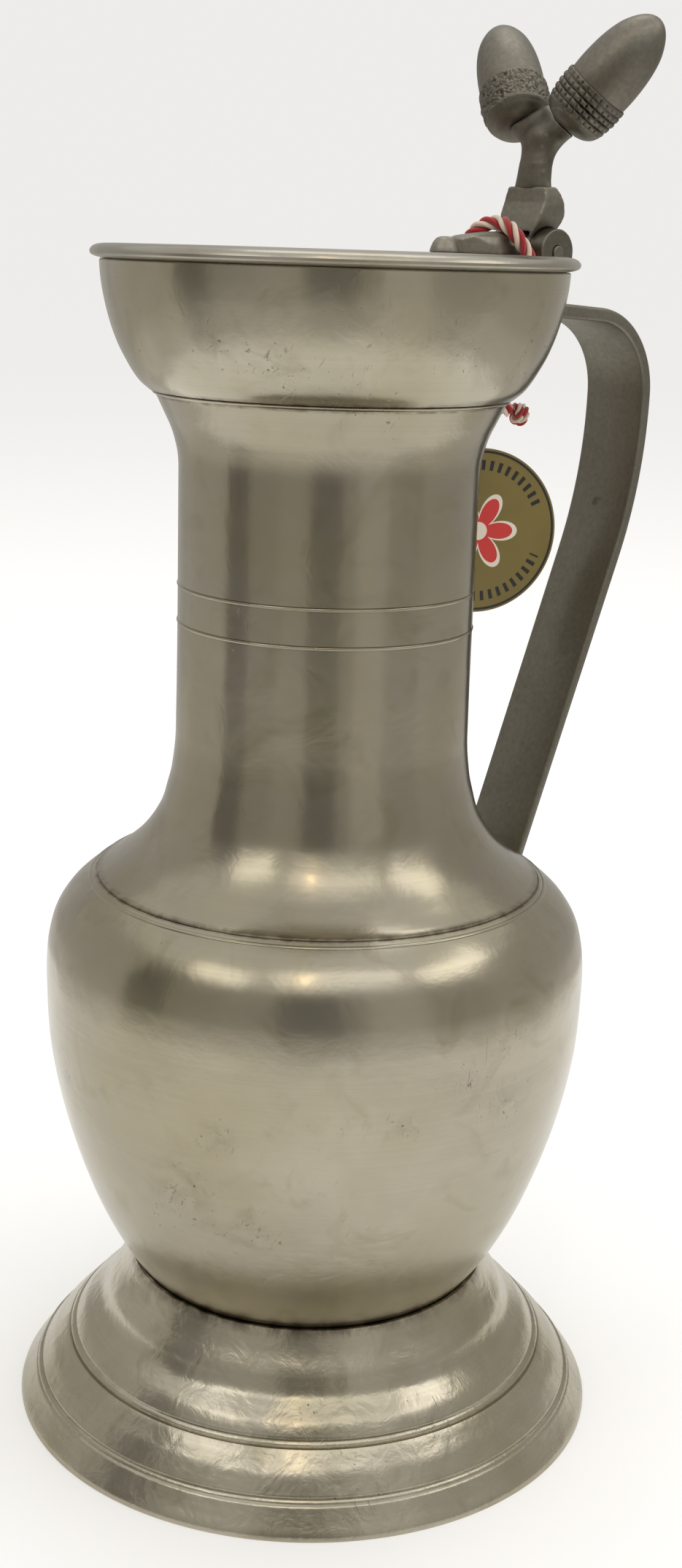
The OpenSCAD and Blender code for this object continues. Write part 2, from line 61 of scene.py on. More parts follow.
def applyModifiers(piece):
    activate(piece)
    for modifier in list(piece.modifiers):
        bpy.ops.object.modifier_apply(modifier=modifier.name)


def settle(piece):
    # the place goes into the mesh, so that the object sits at the origin
    activate(piece)
    bpy.ops.object.transform_apply(location=True, rotation=True, scale=True)


def smoothShade(piece, angle=34):
    activate(piece)
    bpy.ops.object.shade_smooth_by_angle(angle=math.radians(angle))


def mergeDoubles(gap=0.002):
    bpy.ops.mesh.select_all(action="SELECT")
    bpy.ops.mesh.remove_doubles(threshold=gap * mm)
    bpy.ops.mesh.select_all(action="SELECT")


def roundEdges(piece, width, segments, angle=30):
    bevel = piece.modifiers.new("edges", "BEVEL")
    bevel.width = width * mm
    bevel.segments = segments
    bevel.limit_method = "ANGLE"
    bevel.angle_limit = math.radians(angle)
    applyModifiers(piece)


def cutAway(piece, cutter):
    cut = piece.modifiers.new("cut", "BOOLEAN")
    cut.operation = "DIFFERENCE"
    cut.object = cutter
    cut.solver = "EXACT"
    applyModifiers(piece)
    bpy.data.objects.remove(cutter)


def finishPiece(piece, body, material, stands):
    # stands are the solids that the piece is shown in place of
    piece.data.materials.clear()
    piece.data.materials.append(material)
    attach(piece, body)
    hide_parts(*stands)
    return piece


def mix(a, b, t):
    return a + (b - a) * t


# the jug's sizes, in millimetres
jug = {
    "floorZ": 0, "footR": 64.8, "footH": 33.2, "footWall": 2.0,
    "collarWall": 0.8, "collarGap": 0.4, "collarRoom": 2.3,
    "seatDepth": 3.2, "seatT": 2.5, "seatW": 8, "footRimW": 4.0, "footRimT": 2.2, "footRimSlope": 1.4,
    "bellySeatR": 36.0, "bellyR": 58.5, "bellyLowH": 70.0, "bellyTopH": 22.5, "shoulderR": 48.0,
    "sweepH": 31.0, "neckR": 31.1, "neckH": 55.0, "flareH": 16.0, "flareR": 36.3,
    "cupFootR": 37.2, "cupR": 47.3, "cupH": 25.3, "wall": 1.9, "seatGap": 0.15,
}
jug["collarBoreR"] = jug["bellySeatR"] + jug["collarRoom"] + jug["collarGap"]
jug["collarR"] = jug["collarBoreR"] + jug["collarWall"]
jug["seatZ"] = jug["footH"] - jug["seatDepth"]
jug["widestZ"] = jug["seatZ"] + jug["bellyLowH"]
jug["shoulderZ"] = jug["widestZ"] + jug["bellyTopH"]
jug["sweepZ"] = jug["shoulderZ"] + jug["sweepH"]
jug["flareZ"] = jug["sweepZ"] + jug["neckH"]
jug["stepZ"] = jug["flareZ"] + jug["flareH"]
jug["rimZ"] = jug["stepZ"] + jug["cupH"]
jug["lidZ"] = jug["rimZ"] + jug["seatGap"]

# outlines as shares of a piece's height and of its change of radius
outlineShares = {
    "foot": [(0, 1), (0.015, 0.998), (0.036, 0.988), (0.09, 0.937), (0.136, 0.894), (0.18, 0.853),
             (0.208, 0.818), (0.268, 0.761), (0.32, 0.71), (0.367, 0.652), (0.42, 0.585), (0.44, 0.553),
             (0.467, 0.516), (0.512, 0.472), (0.551, 0.427), (0.602, 0.348), (0.648, 0.281), (0.693, 0.241),
             (0.76, 0.2), (0.88, 0.09), (1, 0)],
    "bellyLow": [(0, 0), (0.1, 0.23), (0.17, 0.36), (0.26, 0.5), (0.35, 0.615), (0.47, 0.745), (0.59, 0.85),
                 (0.71, 0.93), (0.83, 0.98), (1, 1)],
    "bellyTop": [(0.2, 0.01), (0.38, 0.055), (0.6, 0.19), (0.78, 0.44), (0.9, 0.71), (1, 1)],
    "sweep": [(0, 0), (0.06, 0.17), (0.115, 0.3), (0.19, 0.46), (0.28, 0.61), (0.38, 0.735), (0.48, 0.83),
              (0.6, 0.895), (0.74, 0.955), (1, 1)],
    "flare": [(0, 0), (0.2, 0.04), (0.4, 0.18), (0.55, 0.34), (0.7, 0.56), (0.85, 0.78), (1, 1)],
    "cup": [(0, 0), (0.06, 0.18), (0.13, 0.32), (0.225, 0.465), (0.33, 0.605), (0.43, 0.71), (0.53, 0.795),
            (0.64, 0.87), (0.76, 0.935), (0.88, 0.98), (1, 1)],
    "lidTop": [(0, 1), (0.6, 0.985), (0.9, 0.955), (0.945, 0.93), (0.97, 0.87), (0.986, 0.76), (0.996, 0.6),
               (1, 0.45)],
    "lidUnder": [(0.95, 0.29), (0.8, 0.18), (0.5, 0.1), (0.2, 0.04), (-0.1, 0)],
}

hinge = {"x": 57.2, "z": jug["rimZ"] + 3.8, "barrelW": 16.6}


# camera

# place and lens in mm, angles in degrees; turn is how far round the camera stands from the jug's side view
view = {"place": (-281.03, -312.12, 253.5), "turn": 42.0, "pitch": 14.902, "roll": 1.833, "yaw": 0.610,
        "lens": 46.37}


def makeCamera():
    pitch, roll, yaw = (math.radians(view[k]) for k in ("pitch", "roll", "yaw"))
    forward = Vector((math.sin(yaw) * math.cos(pitch), math.cos(yaw) * math.cos(pitch), -math.sin(pitch)))
    level = Vector((math.cos(yaw), -math.sin(yaw), 0))
    upward = level.cross(forward)
    right = math.cos(roll) * level + math.sin(roll) * upward
    top = -math.sin(roll) * level + math.cos(roll) * upward
    swing = Matrix.Rotation(-math.radians(view["turn"]), 3, "Z")
    right, top, back = swing @ right, swing @ top, swing @ -forward
    data = bpy.data.cameras.new("photoCamera")
    data.lens = view["lens"]
    data.sensor_width = 36
    data.clip_start = 0.01
    camera = bpy.data.objects.new("photoCamera", data)
    bpy.context.scene.collection.objects.link(camera)
    pose = Matrix((right, top, back)).transposed().to_4x4()
    pose.translation = Vector(view["place"]) * mm
    camera.matrix_world = pose
    bpy.context.scene.camera = camera


makeCamera()
bpy.context.scene.view_settings.view_transform = "Standard"
print("camera placed")


# material helpers

def newMaterial(name):
    material = bpy.data.materials.new(name)
    material.use_nodes = True
    tree = material.node_tree
    return material, tree, tree.nodes["Principled BSDF"]


def setInputs(node, values):
    for name, value in values.items():
        node.inputs[name].default_value = value


def putIn(tree, socket, value):
    if isinstance(value, bpy.types.NodeSocket):
        tree.links.new(value, socket)
        return
    held = socket.default_value
    if hasattr(held, "__len__") and hasattr(value, "__len__") and len(value) < len(held):
        value = (*value, 1)
    socket.default_value = value


def objectPlace(tree, scale=(1, 1, 1), turn=(0, 0, 0)):
    source = tree.nodes.new("ShaderNodeTexCoord")
    mapping = tree.nodes.new("ShaderNodeMapping")
    setInputs(mapping, {"Scale": scale, "Rotation": turn})
    tree.links.new(source.outputs["Object"], mapping.inputs["Vector"])
    return mapping.outputs["Vector"]


def uvPlace(tree):
    return tree.nodes.new("ShaderNodeUVMap").outputs["UV"]


def cloudNoise(tree, place, scale, detail=3, rough=0.55, twist=0.0):
    node = tree.nodes.new("ShaderNodeTexNoise")
    setInputs(node, {"Scale": scale, "Detail": detail, "Roughness": rough, "Distortion": twist})
    tree.links.new(place, node.inputs["Vector"])
    return node.outputs["Fac"]


def ramp(tree, factor, stops):
    node = tree.nodes.new("ShaderNodeValToRGB")
    tree.links.new(factor, node.inputs["Fac"])
    band = node.color_ramp
    for element, (place, value) in zip(band.elements, stops):
        element.position = place
        element.color = (value, value, value, 1)
    return node.outputs["Color"]


def blendColour(tree, factor, a, b):
    node = tree.nodes.new("ShaderNodeMix")
    node.data_type = "RGBA"
    putIn(tree, node.inputs[0], factor)
    putIn(tree, node.inputs[6], a)
    putIn(tree, node.inputs[7], b)
    return node.outputs[2]


def calc(tree, action, a, b=0.0, c=None, clamp=False):
    node = tree.nodes.new("ShaderNodeMath")
    node.operation = action
    node.use_clamp = clamp
    putIn(tree, node.inputs[0], a)
    putIn(tree, node.inputs[1], b)
    if c is not None:
        putIn(tree, node.inputs[2], c)
    return node.outputs[0]


def times(tree, a, b):
    return calc(tree, "MULTIPLY", a, b)


def fadeOut(tree, away, reach):
    # 1 where away is nothing, falling to 0 at the reach
    return calc(tree, "SUBTRACT", 1.0, calc(tree, "DIVIDE", away, reach), clamp=True)


def raised(tree, height, strength, distance, below=None):
    node = tree.nodes.new("ShaderNodeBump")
    setInputs(node, {"Strength": strength, "Distance": distance})
    tree.links.new(height, node.inputs["Height"])
    if below is not None:
        tree.links.new(below, node.inputs["Normal"])
    return node.outputs["Normal"]


def splitAxes(tree, place):
    node = tree.nodes.new("ShaderNodeSeparateXYZ")
    tree.links.new(place, node.inputs["Vector"])
    return node.outputs["X"], node.outputs["Y"], node.outputs["Z"]


def nearSpots(tree, place, spots):
    # 1 in the middle of a spot, falling to 0 at its edge
    total = None
    for spot in spots:
        distance = tree.nodes.new("ShaderNodeVectorMath")
        distance.operation = "DISTANCE"
        tree.links.new(place, distance.inputs[0])
        distance.inputs[1].default_value = [v * mm for v in spot[:3]]
        near = fadeOut(tree, distance.outputs["Value"], spot[3] * mm)
        total = near if total is None else calc(tree, "MAXIMUM", total, near)
    return total


# turned pewter: grain is how fine each of its patterns is
grain = {"tint": 30, "handStain": 85, "grimeAndShade": 230, "pits": 620, "rare": 42, "smudge": 150, "dents": 24,
         "lathe": (9, 9, 260), "scratch": (1500, 130, 260), "scratchTurn": (0.4, 0.9, 0.5)}


def seamGrimeAndShade(tree, place, look, colour):
    # grime and painted shade darken the seams, each given by its height and how far the darkening reaches
    height = splitAxes(tree, place)[2]
    patchy = ramp(tree, cloudNoise(tree, place, grain["grimeAndShade"], 4, 0.65, 0.5), [(0.38, 0.1), (0.62, 0.9)])
    for seam, reach in look["seams"]:
        away = calc(tree, "ABSOLUTE", calc(tree, "SUBTRACT", height, seam * mm))
        near = fadeOut(tree, away, reach * mm)
        colour = blendColour(tree, times(tree, near, patchy), colour, look["grimeAndShade"])
    return colour


def wornMarks(tree, place, look, colour):
    # small pits and short scratches, thick in the worn spots and rare elsewhere
    pits = ramp(tree, cloudNoise(tree, place, grain["pits"], 3, 0.65), [(0.66, 0), (0.7, 1)])
    along = objectPlace(tree, grain["scratch"], grain["scratchTurn"])
    scratches = ramp(tree, cloudNoise(tree, along, 1.0, 2, 0.6, 0.8), [(0.65, 0), (0.7, 1)])
    marks = calc(tree, "MAXIMUM", pits, times(tree, scratches, 0.5))
    rare = ramp(tree, cloudNoise(tree, place, grain["rare"], 2, 0.5), [(0.61, 0), (0.72, 1)])
    worn = times(tree, marks, times(tree, rare, 0.85))
    near = nearSpots(tree, place, look["spots"])
    if near is not None:
        worn = calc(tree, "MAXIMUM", worn, times(tree, marks, ramp(tree, near, [(0.05, 0), (0.5, 1)])))
        smudge = ramp(tree, cloudNoise(tree, place, grain["smudge"], 4, 0.7, 0.8), [(0.45, 0), (0.7, 1)])
        colour = blendColour(tree, times(tree, smudge, times(tree, near, 0.35)), colour, look["dark"])
    colour = blendColour(tree, times(tree, worn, look["stain"]), colour, look["dark"])
    return colour, worn


def turnedPewter(name, look):
    material, tree, shader = newMaterial(name)
    place = objectPlace(tree)
    cloud = cloudNoise(tree, place, look["cloudScale"], 5, 0.62, 0.6)
    tint = cloudNoise(tree, place, grain["tint"], 3, 0.55, 0.3)
    colour = blendColour(tree, ramp(tree, cloud, [(0.3, 0), (0.7, 1)]), look["bright"], look["dull"])
    colour = blendColour(tree, ramp(tree, tint, [(0.42, 0), (0.7, 0.8)]), colour, look["olive"])
    # darker patches where hands have stained it
    stained = ramp(tree, cloudNoise(tree, place, grain["handStain"], 4, 0.6, 0.9), [(0.53, 0), (0.72, 1)])
    colour = blendColour(tree, times(tree, stained, 0.5), colour, look["stained"])
    colour = seamGrimeAndShade(tree, place, look, colour)
    # lathe lines: very fine along the height, long around the body
    lines = cloudNoise(tree, objectPlace(tree, (22, 22, look["lineScale"])), 1.0, 3, 0.62)
    broad = cloudNoise(tree, objectPlace(tree, grain["lathe"]), 1.0, 2, 0.5)
    colour = blendColour(tree, times(tree, lines, look["lineTint"]), colour, look["dark"])
    colour, worn = wornMarks(tree, place, look, colour)
    putIn(tree, shader.inputs["Base Color"], colour)
    rough = calc(tree, "MULTIPLY_ADD", cloud, 0.14, look["rough"])
    rough = calc(tree, "ADD", rough, times(tree, lines, 0.05))
    rough = calc(tree, "ADD", rough, times(tree, worn, 0.2), clamp=True)
    putIn(tree, shader.inputs["Roughness"], rough)
    setInputs(shader, {"Metallic": 1.0, "Anisotropic": look["lathe"], "Anisotropic Rotation": 0.25})
    normal = raised(tree, lines, look["lineStrength"], 0.06 * mm)
    normal = raised(tree, broad, 0.07, 0.12 * mm, normal)
    # shallow dents and unevenness from use
    normal = raised(tree, cloudNoise(tree, place, grain["dents"], 2, 0.5), 0.16, 1.6 * mm, normal)
    uneven = cloudNoise(tree, place, look["unevenScale"], 4, 0.55, 0.5)
    normal = raised(tree, uneven, look["uneven"], 0.5 * mm, normal)
    normal = raised(tree, calc(tree, "SUBTRACT", 1.0, worn), 0.4, 0.08 * mm, normal)
    tree.links.new(normal, shader.inputs["Normal"])
    tangent = tree.nodes.new("ShaderNodeTangent")
    tangent.direction_type = "RADIAL"
    tangent.axis = "Z"
    tree.links.new(tangent.outputs["Tangent"], shader.inputs["Tangent"])
    return material


def castPewter(name, look):
    material, tree, shader = newMaterial(name)
    place = objectPlace(tree)
    cloud = cloudNoise(tree, place, 46, 5, 0.6, 0.5)
    sand = cloudNoise(tree, place, 900, 3, 0.6)
    colour = blendColour(tree, ramp(tree, cloud, [(0.35, 0), (0.66, 1)]), look["bright"], look["brown"])
    colour = blendColour(tree, ramp(tree, sand, [(0.3, 0.0), (0.75, 0.3)]), colour, look["dark"])
    # edges are rubbed bright and hollows are dark
    geometry = tree.nodes.new("ShaderNodeNewGeometry")
    edges = ramp(tree, geometry.outputs["Pointiness"], [(0.5, 0), (0.56, 1)])
    hollows = ramp(tree, geometry.outputs["Pointiness"], [(0.44, 1), (0.5, 0)])
    colour = blendColour(tree, times(tree, edges, look["edge"]), colour, look["worn"])
    colour = blendColour(tree, times(tree, hollows, 0.75), colour, look["dark"])
    stain = nearSpots(tree, place, look["spots"])
    if stain is not None:
        stain = times(tree, stain, cloudNoise(tree, place, 900, 3, 0.7))
        colour = blendColour(tree, ramp(tree, stain, [(0.1, 0), (0.36, 0.6)]), colour, look["stain"])
    # the acorn caps' cuts hold black grime
    cuts = tree.nodes.new("ShaderNodeAttribute")
    cuts.attribute_name = "hollow"
    colour = blendColour(tree, times(tree, cuts.outputs["Fac"], 0.9), colour, look["black"])
    putIn(tree, shader.inputs["Base Color"], colour)
    setInputs(shader, {"Metallic": 1.0})
    rough = calc(tree, "MULTIPLY_ADD", cloud, 0.16, look["rough"])
    rough = calc(tree, "ADD", rough, times(tree, sand, 0.1), clamp=True)
    putIn(tree, shader.inputs["Roughness"], rough)
    normal = raised(tree, sand, 0.2, 0.08 * mm)
    normal = raised(tree, cloudNoise(tree, place, 160, 3, 0.5), 0.25, 0.3 * mm, normal)
    tree.links.new(normal, shader.inputs["Normal"])
    return material


# seams are heights with the reach of their grime and painted shade, spots are places with their size, all in
# mm
bodyLook = {
    "bright": (0.465, 0.428, 0.337), "dull": (0.357, 0.325, 0.252), "olive": (0.375, 0.338, 0.228),
    "stained": (0.29, 0.262, 0.17), "grimeAndShade": (0.13, 0.098, 0.068), "dark": (0.1, 0.088, 0.066),
    "rough": 0.135, "lathe": 0.6, "stain": 0.7, "cloudScale": 17, "unevenScale": 86, "uneven": 0.29,
    "lineScale": 2400, "lineStrength": 0.065, "lineTint": 0.12, "seams": [], "spots": [],
}
# the cup's pewter is painted brighter than the body's, standing in for the stronger light on it
cupLook = dict(
    bodyLook, bright=(0.49, 0.454, 0.36), dull=(0.378, 0.346, 0.27), seams=[(jug["stepZ"], 0.7)],
    spots=[(-42, -14, 235, 8), (-38, -24, 232, 8), (-10, -44, 237, 8), (-4, -46, 232, 6)])
lidLook = dict(
    bodyLook, bright=(0.43, 0.405, 0.345), dull=(0.34, 0.318, 0.268), olive=(0.36, 0.33, 0.26), rough=0.2)
neckLook = dict(
    bodyLook, bright=(0.436, 0.398, 0.32), dull=(0.337, 0.305, 0.241),
    seams=[(jug["shoulderZ"] + 0.4, 0.55), (jug["stepZ"] - 1.1, 0.4)])
bellyLook = dict(
    bodyLook, seams=[(jug["shoulderZ"], 0.3), (jug["footH"], 1.8)],
    spots=[(-55, 15, 85, 7), (-52, -20, 68, 11), (-44, -32, 60, 9), (2, -57, 88, 8), (-22, -53, 87, 4),
           (-50, -28, 84, 6), (30, -49, 98, 5), (44, -20, 66, 7)])
# the foot's pewter is painted brighter than the body's, standing in for the stronger light on it
footLook = dict(
    bodyLook, bright=(0.54, 0.5, 0.4), dull=(0.45, 0.412, 0.325), rough=0.17, lathe=0.45,
    lineScale=1700, lineStrength=0.12, lineTint=0.2, unevenScale=150, uneven=0.55,
    seams=[(jug["footH"], 1.9)], spots=[(-30, -50, 8, 12), (40, -46, 9, 10), (-10, -52, 16, 9)])
castLook = {
    "bright": (0.175, 0.165, 0.132), "brown": (0.155, 0.132, 0.104), "dark": (0.05, 0.046, 0.036),
    "worn": (0.33, 0.31, 0.26), "stain": (0.045, 0.036, 0.028), "black": (0.018, 0.016, 0.013),
    "edge": 0.3, "rough": 0.34, "spots": [],
}
nutLook = dict(castLook, bright=(0.225, 0.212, 0.175), brown=(0.2, 0.172, 0.14), rough=0.36, edge=0.15)
blockLook = dict(castLook, bright=(0.25, 0.235, 0.192), brown=(0.215, 0.19, 0.152))
tongueLook = dict(castLook, bright=(0.34, 0.325, 0.275), brown=(0.28, 0.255, 0.21), rough=0.36)
strapLook = dict(
    castLook, bright=(0.215, 0.205, 0.165), brown=(0.19, 0.17, 0.134), rough=0.36,
    spots=[(85.1, 0.2, 197.9, 1.3), (85.4, 1.2, 197.3, 1.6)])

pewterCup = turnedPewter("cupPewter", cupLook)
pewterLid = turnedPewter("lidPewter", lidLook)
pewterNeck = turnedPewter("neckPewter", neckLook)
pewterBelly = turnedPewter("bellyPewter", bellyLook)
pewterFoot = turnedPewter("footPewter", footLook)
castDark = castPewter("castPewter", castLook)
castBlock = castPewter("blockPewter", blockLook)
castTongue = castPewter("tonguePewter", tongueLook)
castNut = castPewter("nutPewter", nutLook)
castStrap = castPewter("strapPewter", strapLook)
print("pewter finishes made")


# cords: the same routes as in the part's source, in millimetres

cord = {"d": 3.2, "pitch": 9.6, "strands": 4, "sides": 40, "creamFrom": 0.53, "yarnLength": 900.0,
        "yarnsRound": 44.0, "knotShare": 0.42}
routes = {
    "loop": [(54.7, 12.4, 250.9), (53.2, 11.9, 250.0), (51.9, 10.6, 249.7), (51.2, 8.6, 249.8),
             (51.2, 6.0, 249.6), (51.4, 3.0, 249.4), (51.4, 0, 249.3), (51.4, -3.0, 249.4),
             (51.1, -5.4, 250.3), (50.0, -6.4, 252.4), (48.4, -6.2, 254.7), (47.2, -5.2, 256.8),
             (46.8, -3.2, 258.6), (46.7, -0.8, 259.4), (45.9, 1.2, 259.4), (45.0, 3.0, 258.7),
             (44.4, 4.6, 257.5), (44.4, 5.8, 256.2), (45.2, 7.6, 255.2), (46.8, 9.6, 254.8),
             (48.6, 11.4, 254.9), (51.0, 12.6, 254.9), (53.5, 12.9, 254.7)],
    "drop": [(57.2, 12.6, 250.2), (57.2, 12.7, 247.0), (57.0, 12.8, 243.0), (56.5, 12.9, 239.0),
             (55.9, 13.0, 235.0), (55.3, 13.0, 231.0), (54.7, 13.0, 227.0), (54.1, 13.0, 223.2),
             (53.9, 13.0, 220.0), (53.7, 13.0, 216.8), (53.3, 12.9, 214.8), (52.8, 12.7, 212.4),
             (52.2, 12.2, 210.2), (51.9, 12.0, 208.4)],
    "tail": [(57.1, 12.3, 219.9), (58.7, 11.7, 219.7), (60.5, 11.0, 219.3), (62.3, 10.3, 218.8),
             (63.8, 9.8, 218.3)],
}
# each knot's middle, reach, direction, body and solid
knots = {
    "hitchKnot": ((hinge["x"], 12.6, hinge["z"]), 3.3, (0.3, 0.2, 1), "lid", "tag_cord_hitch"),
    "middleKnot": ((53.9, 13.0, 220.0), 3.1, (0.2, 0.1, 1), "jug", "tag_cord_knot"),
    "endKnot": ((66.5, 9.1, 217.4), 2.7, (1, -0.3, -0.4), "jug", "tag_cord_end"),
    "tieKnot": ((51.9, 12.6, 205.1), 2.9, (0.5, 1, 0.2), "jug", "tag_cord_tie"),
}


def cordFinish():
    material, tree, shader = newMaterial("twistedCord")
    along, around, _ = splitAxes(tree, uvPlace(tree))
    share = calc(tree, "FRACT", times(tree, around, cord["strands"] / 2))
    isCream = calc(tree, "GREATER_THAN", share, cord["creamFrom"])
    # yarn lines run along each strand
    combine = tree.nodes.new("ShaderNodeCombineXYZ")
    tree.links.new(times(tree, along, cord["yarnLength"]), combine.inputs["X"])
    tree.links.new(times(tree, around, cord["yarnsRound"]), combine.inputs["Y"])
    yarn = cloudNoise(tree, combine.outputs["Vector"], 1.0, 2, 0.6, 0.3)
    red = blendColour(tree, yarn, (0.5, 0.012, 0.012), (0.2, 0.004, 0.006))
    cream = blendColour(tree, yarn, (0.8, 0.68, 0.55), (0.52, 0.36, 0.27))
    colour = blendColour(tree, isCream, red, cream)
    # painted shade darkens the cord between the strands
    strand = calc(tree, "FRACT", times(tree, around, float(cord["strands"])))
    edge = calc(tree, "ABSOLUTE", calc(tree, "SUBTRACT", strand, 0.5))
    gap = ramp(tree, edge, [(0.3, 0), (0.5, 0.75)])
    colour = blendColour(tree, gap, colour, (0.06, 0.012, 0.01))
    putIn(tree, shader.inputs["Base Color"], colour)
    setInputs(shader, {"Roughness": 0.82, "Sheen Weight": 0.35, "Sheen Roughness": 0.5})
    tree.links.new(raised(tree, yarn, 0.5, 0.12 * mm), shader.inputs["Normal"])
    return material


def smoothRoute(points, steps):
    line = []
    for i in range(len(points) - 1):
        a, b = points[max(i - 1, 0)], points[i]
        c, d = points[i + 1], points[min(i + 2, len(points) - 1)]
        for k in range(steps):
            t = k / steps
            line.append(Vector([0.5 * (2 * b[j] + (c[j] - a[j]) * t
                                       + (2 * a[j] - 5 * b[j] + 4 * c[j] - d[j]) * t * t
                                       + (3 * b[j] - a[j] - 3 * c[j] + d[j]) * t ** 3) for j in range(3)]))
    line.append(Vector(points[-1]))
    return line


def routeLength(line):
    return sum((b - a).length for a, b in zip(line, line[1:]))


def strandReach(angle, radius):
    # how far out the cord's surface lies, over one strand and down to the gap between two
    turn = ((angle * cord["strands"] / math.tau) % 1.0 - 0.5) * math.tau / cord["strands"]
    middle, strand, deepest = 0.586, 0.414, 0.64  # shares of the cord's radius
    reach = middle * math.cos(turn) + math.sqrt(max(0.0, strand ** 2 - (middle * math.sin(turn)) ** 2))
    return radius * max(deepest, reach)


def ropeMesh(name, line, radius, closed=False, pitch=None):
    pitch = pitch or cord["pitch"]
    sides = cord["sides"]
    count = len(line)
    verts, faces, uvs, runs = [], [], [], []
    heading = (line[1] - line[0]).normalized()
    side = heading.orthogonal().normalized()
    run = 0.0
    for i, spot in enumerate(line):
        ahead = line[(i + 1) % count] if closed or i + 1 < count else line[i]
        behind = line[i - 1] if closed or i > 0 else line[i]
        heading = (ahead - behind).normalized()
        side = (side - side.dot(heading) * heading).normalized()
        over = heading.cross(side)
        if i:
            run += (line[i] - line[i - 1]).length
        runs.append(run)
        for k in range(sides):
            angle = math.tau * k / sides
            out = strandReach(angle, radius)
            turned = angle + math.tau * run / pitch
            verts.append((spot + out * (math.cos(turned) * side + math.sin(turned) * over)) * mm)
    for i in range(count if closed else count - 1):
        after = (i + 1) % count
        low, high = runs[i] * mm, (runs[i] + (line[after] - line[i]).length) * mm
        for k in range(sides):
            beside = (k + 1) % sides
            faces.append((i * sides + k, i * sides + beside, after * sides + beside, after * sides + k))
            start, end = k / sides, (k + 1) / sides
            uvs += [(low, start), (low, end), (high, end), (high, start)]
    if not closed:
        # each end is closed by a low cone
        for i, near in ((0, 1), (count - 1, count - 2)):
            tip = len(verts)
            verts.append((line[i] + (line[i] - line[near]).normalized() * radius * 0.25) * mm)
            for k in range(sides):
                a, b = i * sides + k, i * sides + (k + 1) % sides
                pair = [(runs[i] * mm, k / sides), (runs[i] * mm, (k + 1) / sides)]
                faces.append((a, b, tip) if i else (b, a, tip))
                uvs += (pair if i else pair[::-1]) + [(runs[i] * mm, (k + 0.5) / sides)]
    mesh = bpy.data.meshes.new(name)
    mesh.from_pydata(verts, [], faces)
    layer = mesh.uv_layers.new(name="UVMap")
    for corner, uv in zip(layer.data, uvs):
        corner.uv = uv
    for face in mesh.polygons:
        face.use_smooth = True
    mesh.update()
    piece = bpy.data.objects.new(name, mesh)
    bpy.context.scene.collection.objects.link(piece)
    return piece


def knotLine(reach, thick, middle, along, turns=2.0, steps=150, wound=0.8):
    # the cord is wound tightly for a share of the line, and led back through the middle
    line = []
    axis = Vector(along).normalized()
    side = axis.orthogonal().normalized()
    over = axis.cross(side)
    ringR = reach - thick
    half = 0.465 * reach
    for i in range(steps):
        t = i / steps
        if t < wound:
            k = t / wound
            angle = math.tau * turns * k
            swell = 0.8 + 0.2 * math.sin(math.pi * k)
            spot = ringR * (math.cos(angle) * side + math.sin(angle) * over) * swell
            spot += axis * mix(-half, half, k)
        else:
            k = (t - wound) / (1 - wound)
            bow = math.sin(math.pi * k)
            spot = ringR * 0.8 * (1 - bow * 1.1) * side + axis * mix(half, -half, k)
        line.append(Vector(middle) + spot)
    return line


def layCord(name, route, steps, body, stands):
    line = smoothRoute(routes[route], steps)
    piece = ropeMesh(name, line, cord["d"] / 2)
    return finishPiece(piece, body, cordMaterial, stands), line


def makeCords():
    loop, loopLine = layCord("tagCordLoop", "loop", 9, "lid", ["tag_cord_loop"])
    drop, dropLine = layCord("tagCordDrop", "drop", 9, "jug", ["tag_cord_drop", "tag_cord_low"])
    tail, _ = layCord("tagCordTail", "tail", 8, "jug", ["tag_cord_tail"])
    for name, (middle, reach, along, body, node) in knots.items():
        thick = reach * cord["knotShare"]
        line = knotLine(reach, thick, middle, along)
        piece = ropeMesh(name, line, thick, closed=True, pitch=routeLength(line + line[:1]) / 4)
        finishPiece(piece, body, cordMaterial, [node])


cordMaterial = cordFinish()
makeCords()
print("cords laid")


# turned pieces

def jugLine(lowZ, highZ, lowR, highR, part):
    return [(mix(jug[lowR], jug[highR], s), mix(jug[lowZ], jug[highZ], h)) for h, s in outlineShares[part]]


def footPoints():
    return jugLine("floorZ", "footH", "collarR", "footR", "foot")


def bellyPoints():
    low = jugLine("seatZ", "widestZ", "bellySeatR", "bellyR", "bellyLow")
    return low + jugLine("widestZ", "shoulderZ", "bellyR", "shoulderR", "bellyTop")


def neckPoints():
    sweep = jugLine("shoulderZ", "sweepZ", "shoulderR", "neckR", "sweep")
    return sweep + jugLine("flareZ", "stepZ", "neckR", "flareR", "flare")


def cupPoints():
    return jugLine("stepZ", "rimZ", "cupFootR", "cupR", "cup")


def smoothLine(points, steps=6):
    def grade(i):
        a, b = points[max(i - 1, 0)], points[min(i + 1, len(points) - 1)]
        return (b[0] - a[0]) / (b[1] - a[1])

    line = []
    for i in range(len(points) - 1):
        (r0, z0), (r1, z1) = points[i], points[i + 1]
        h = z1 - z0
        for k in range(steps):
            t = k / steps
            r = ((2 * t ** 3 - 3 * t * t + 1) * r0 + (t ** 3 - 2 * t * t + t) * h * grade(i)
                 + (3 * t * t - 2 * t ** 3) * r1 + (t ** 3 - t * t) * h * grade(i + 1))
            line.append((r, z0 + t * h))
    line.append(points[-1])
    return line


def normalAt(line, i):
    a, b = line[max(i - 1, 0)], line[min(i + 1, len(line) - 1)]
    dr, dz = b[0] - a[0], b[1] - a[1]
    size = math.hypot(dr, dz)
    return dz / size, -dr / size


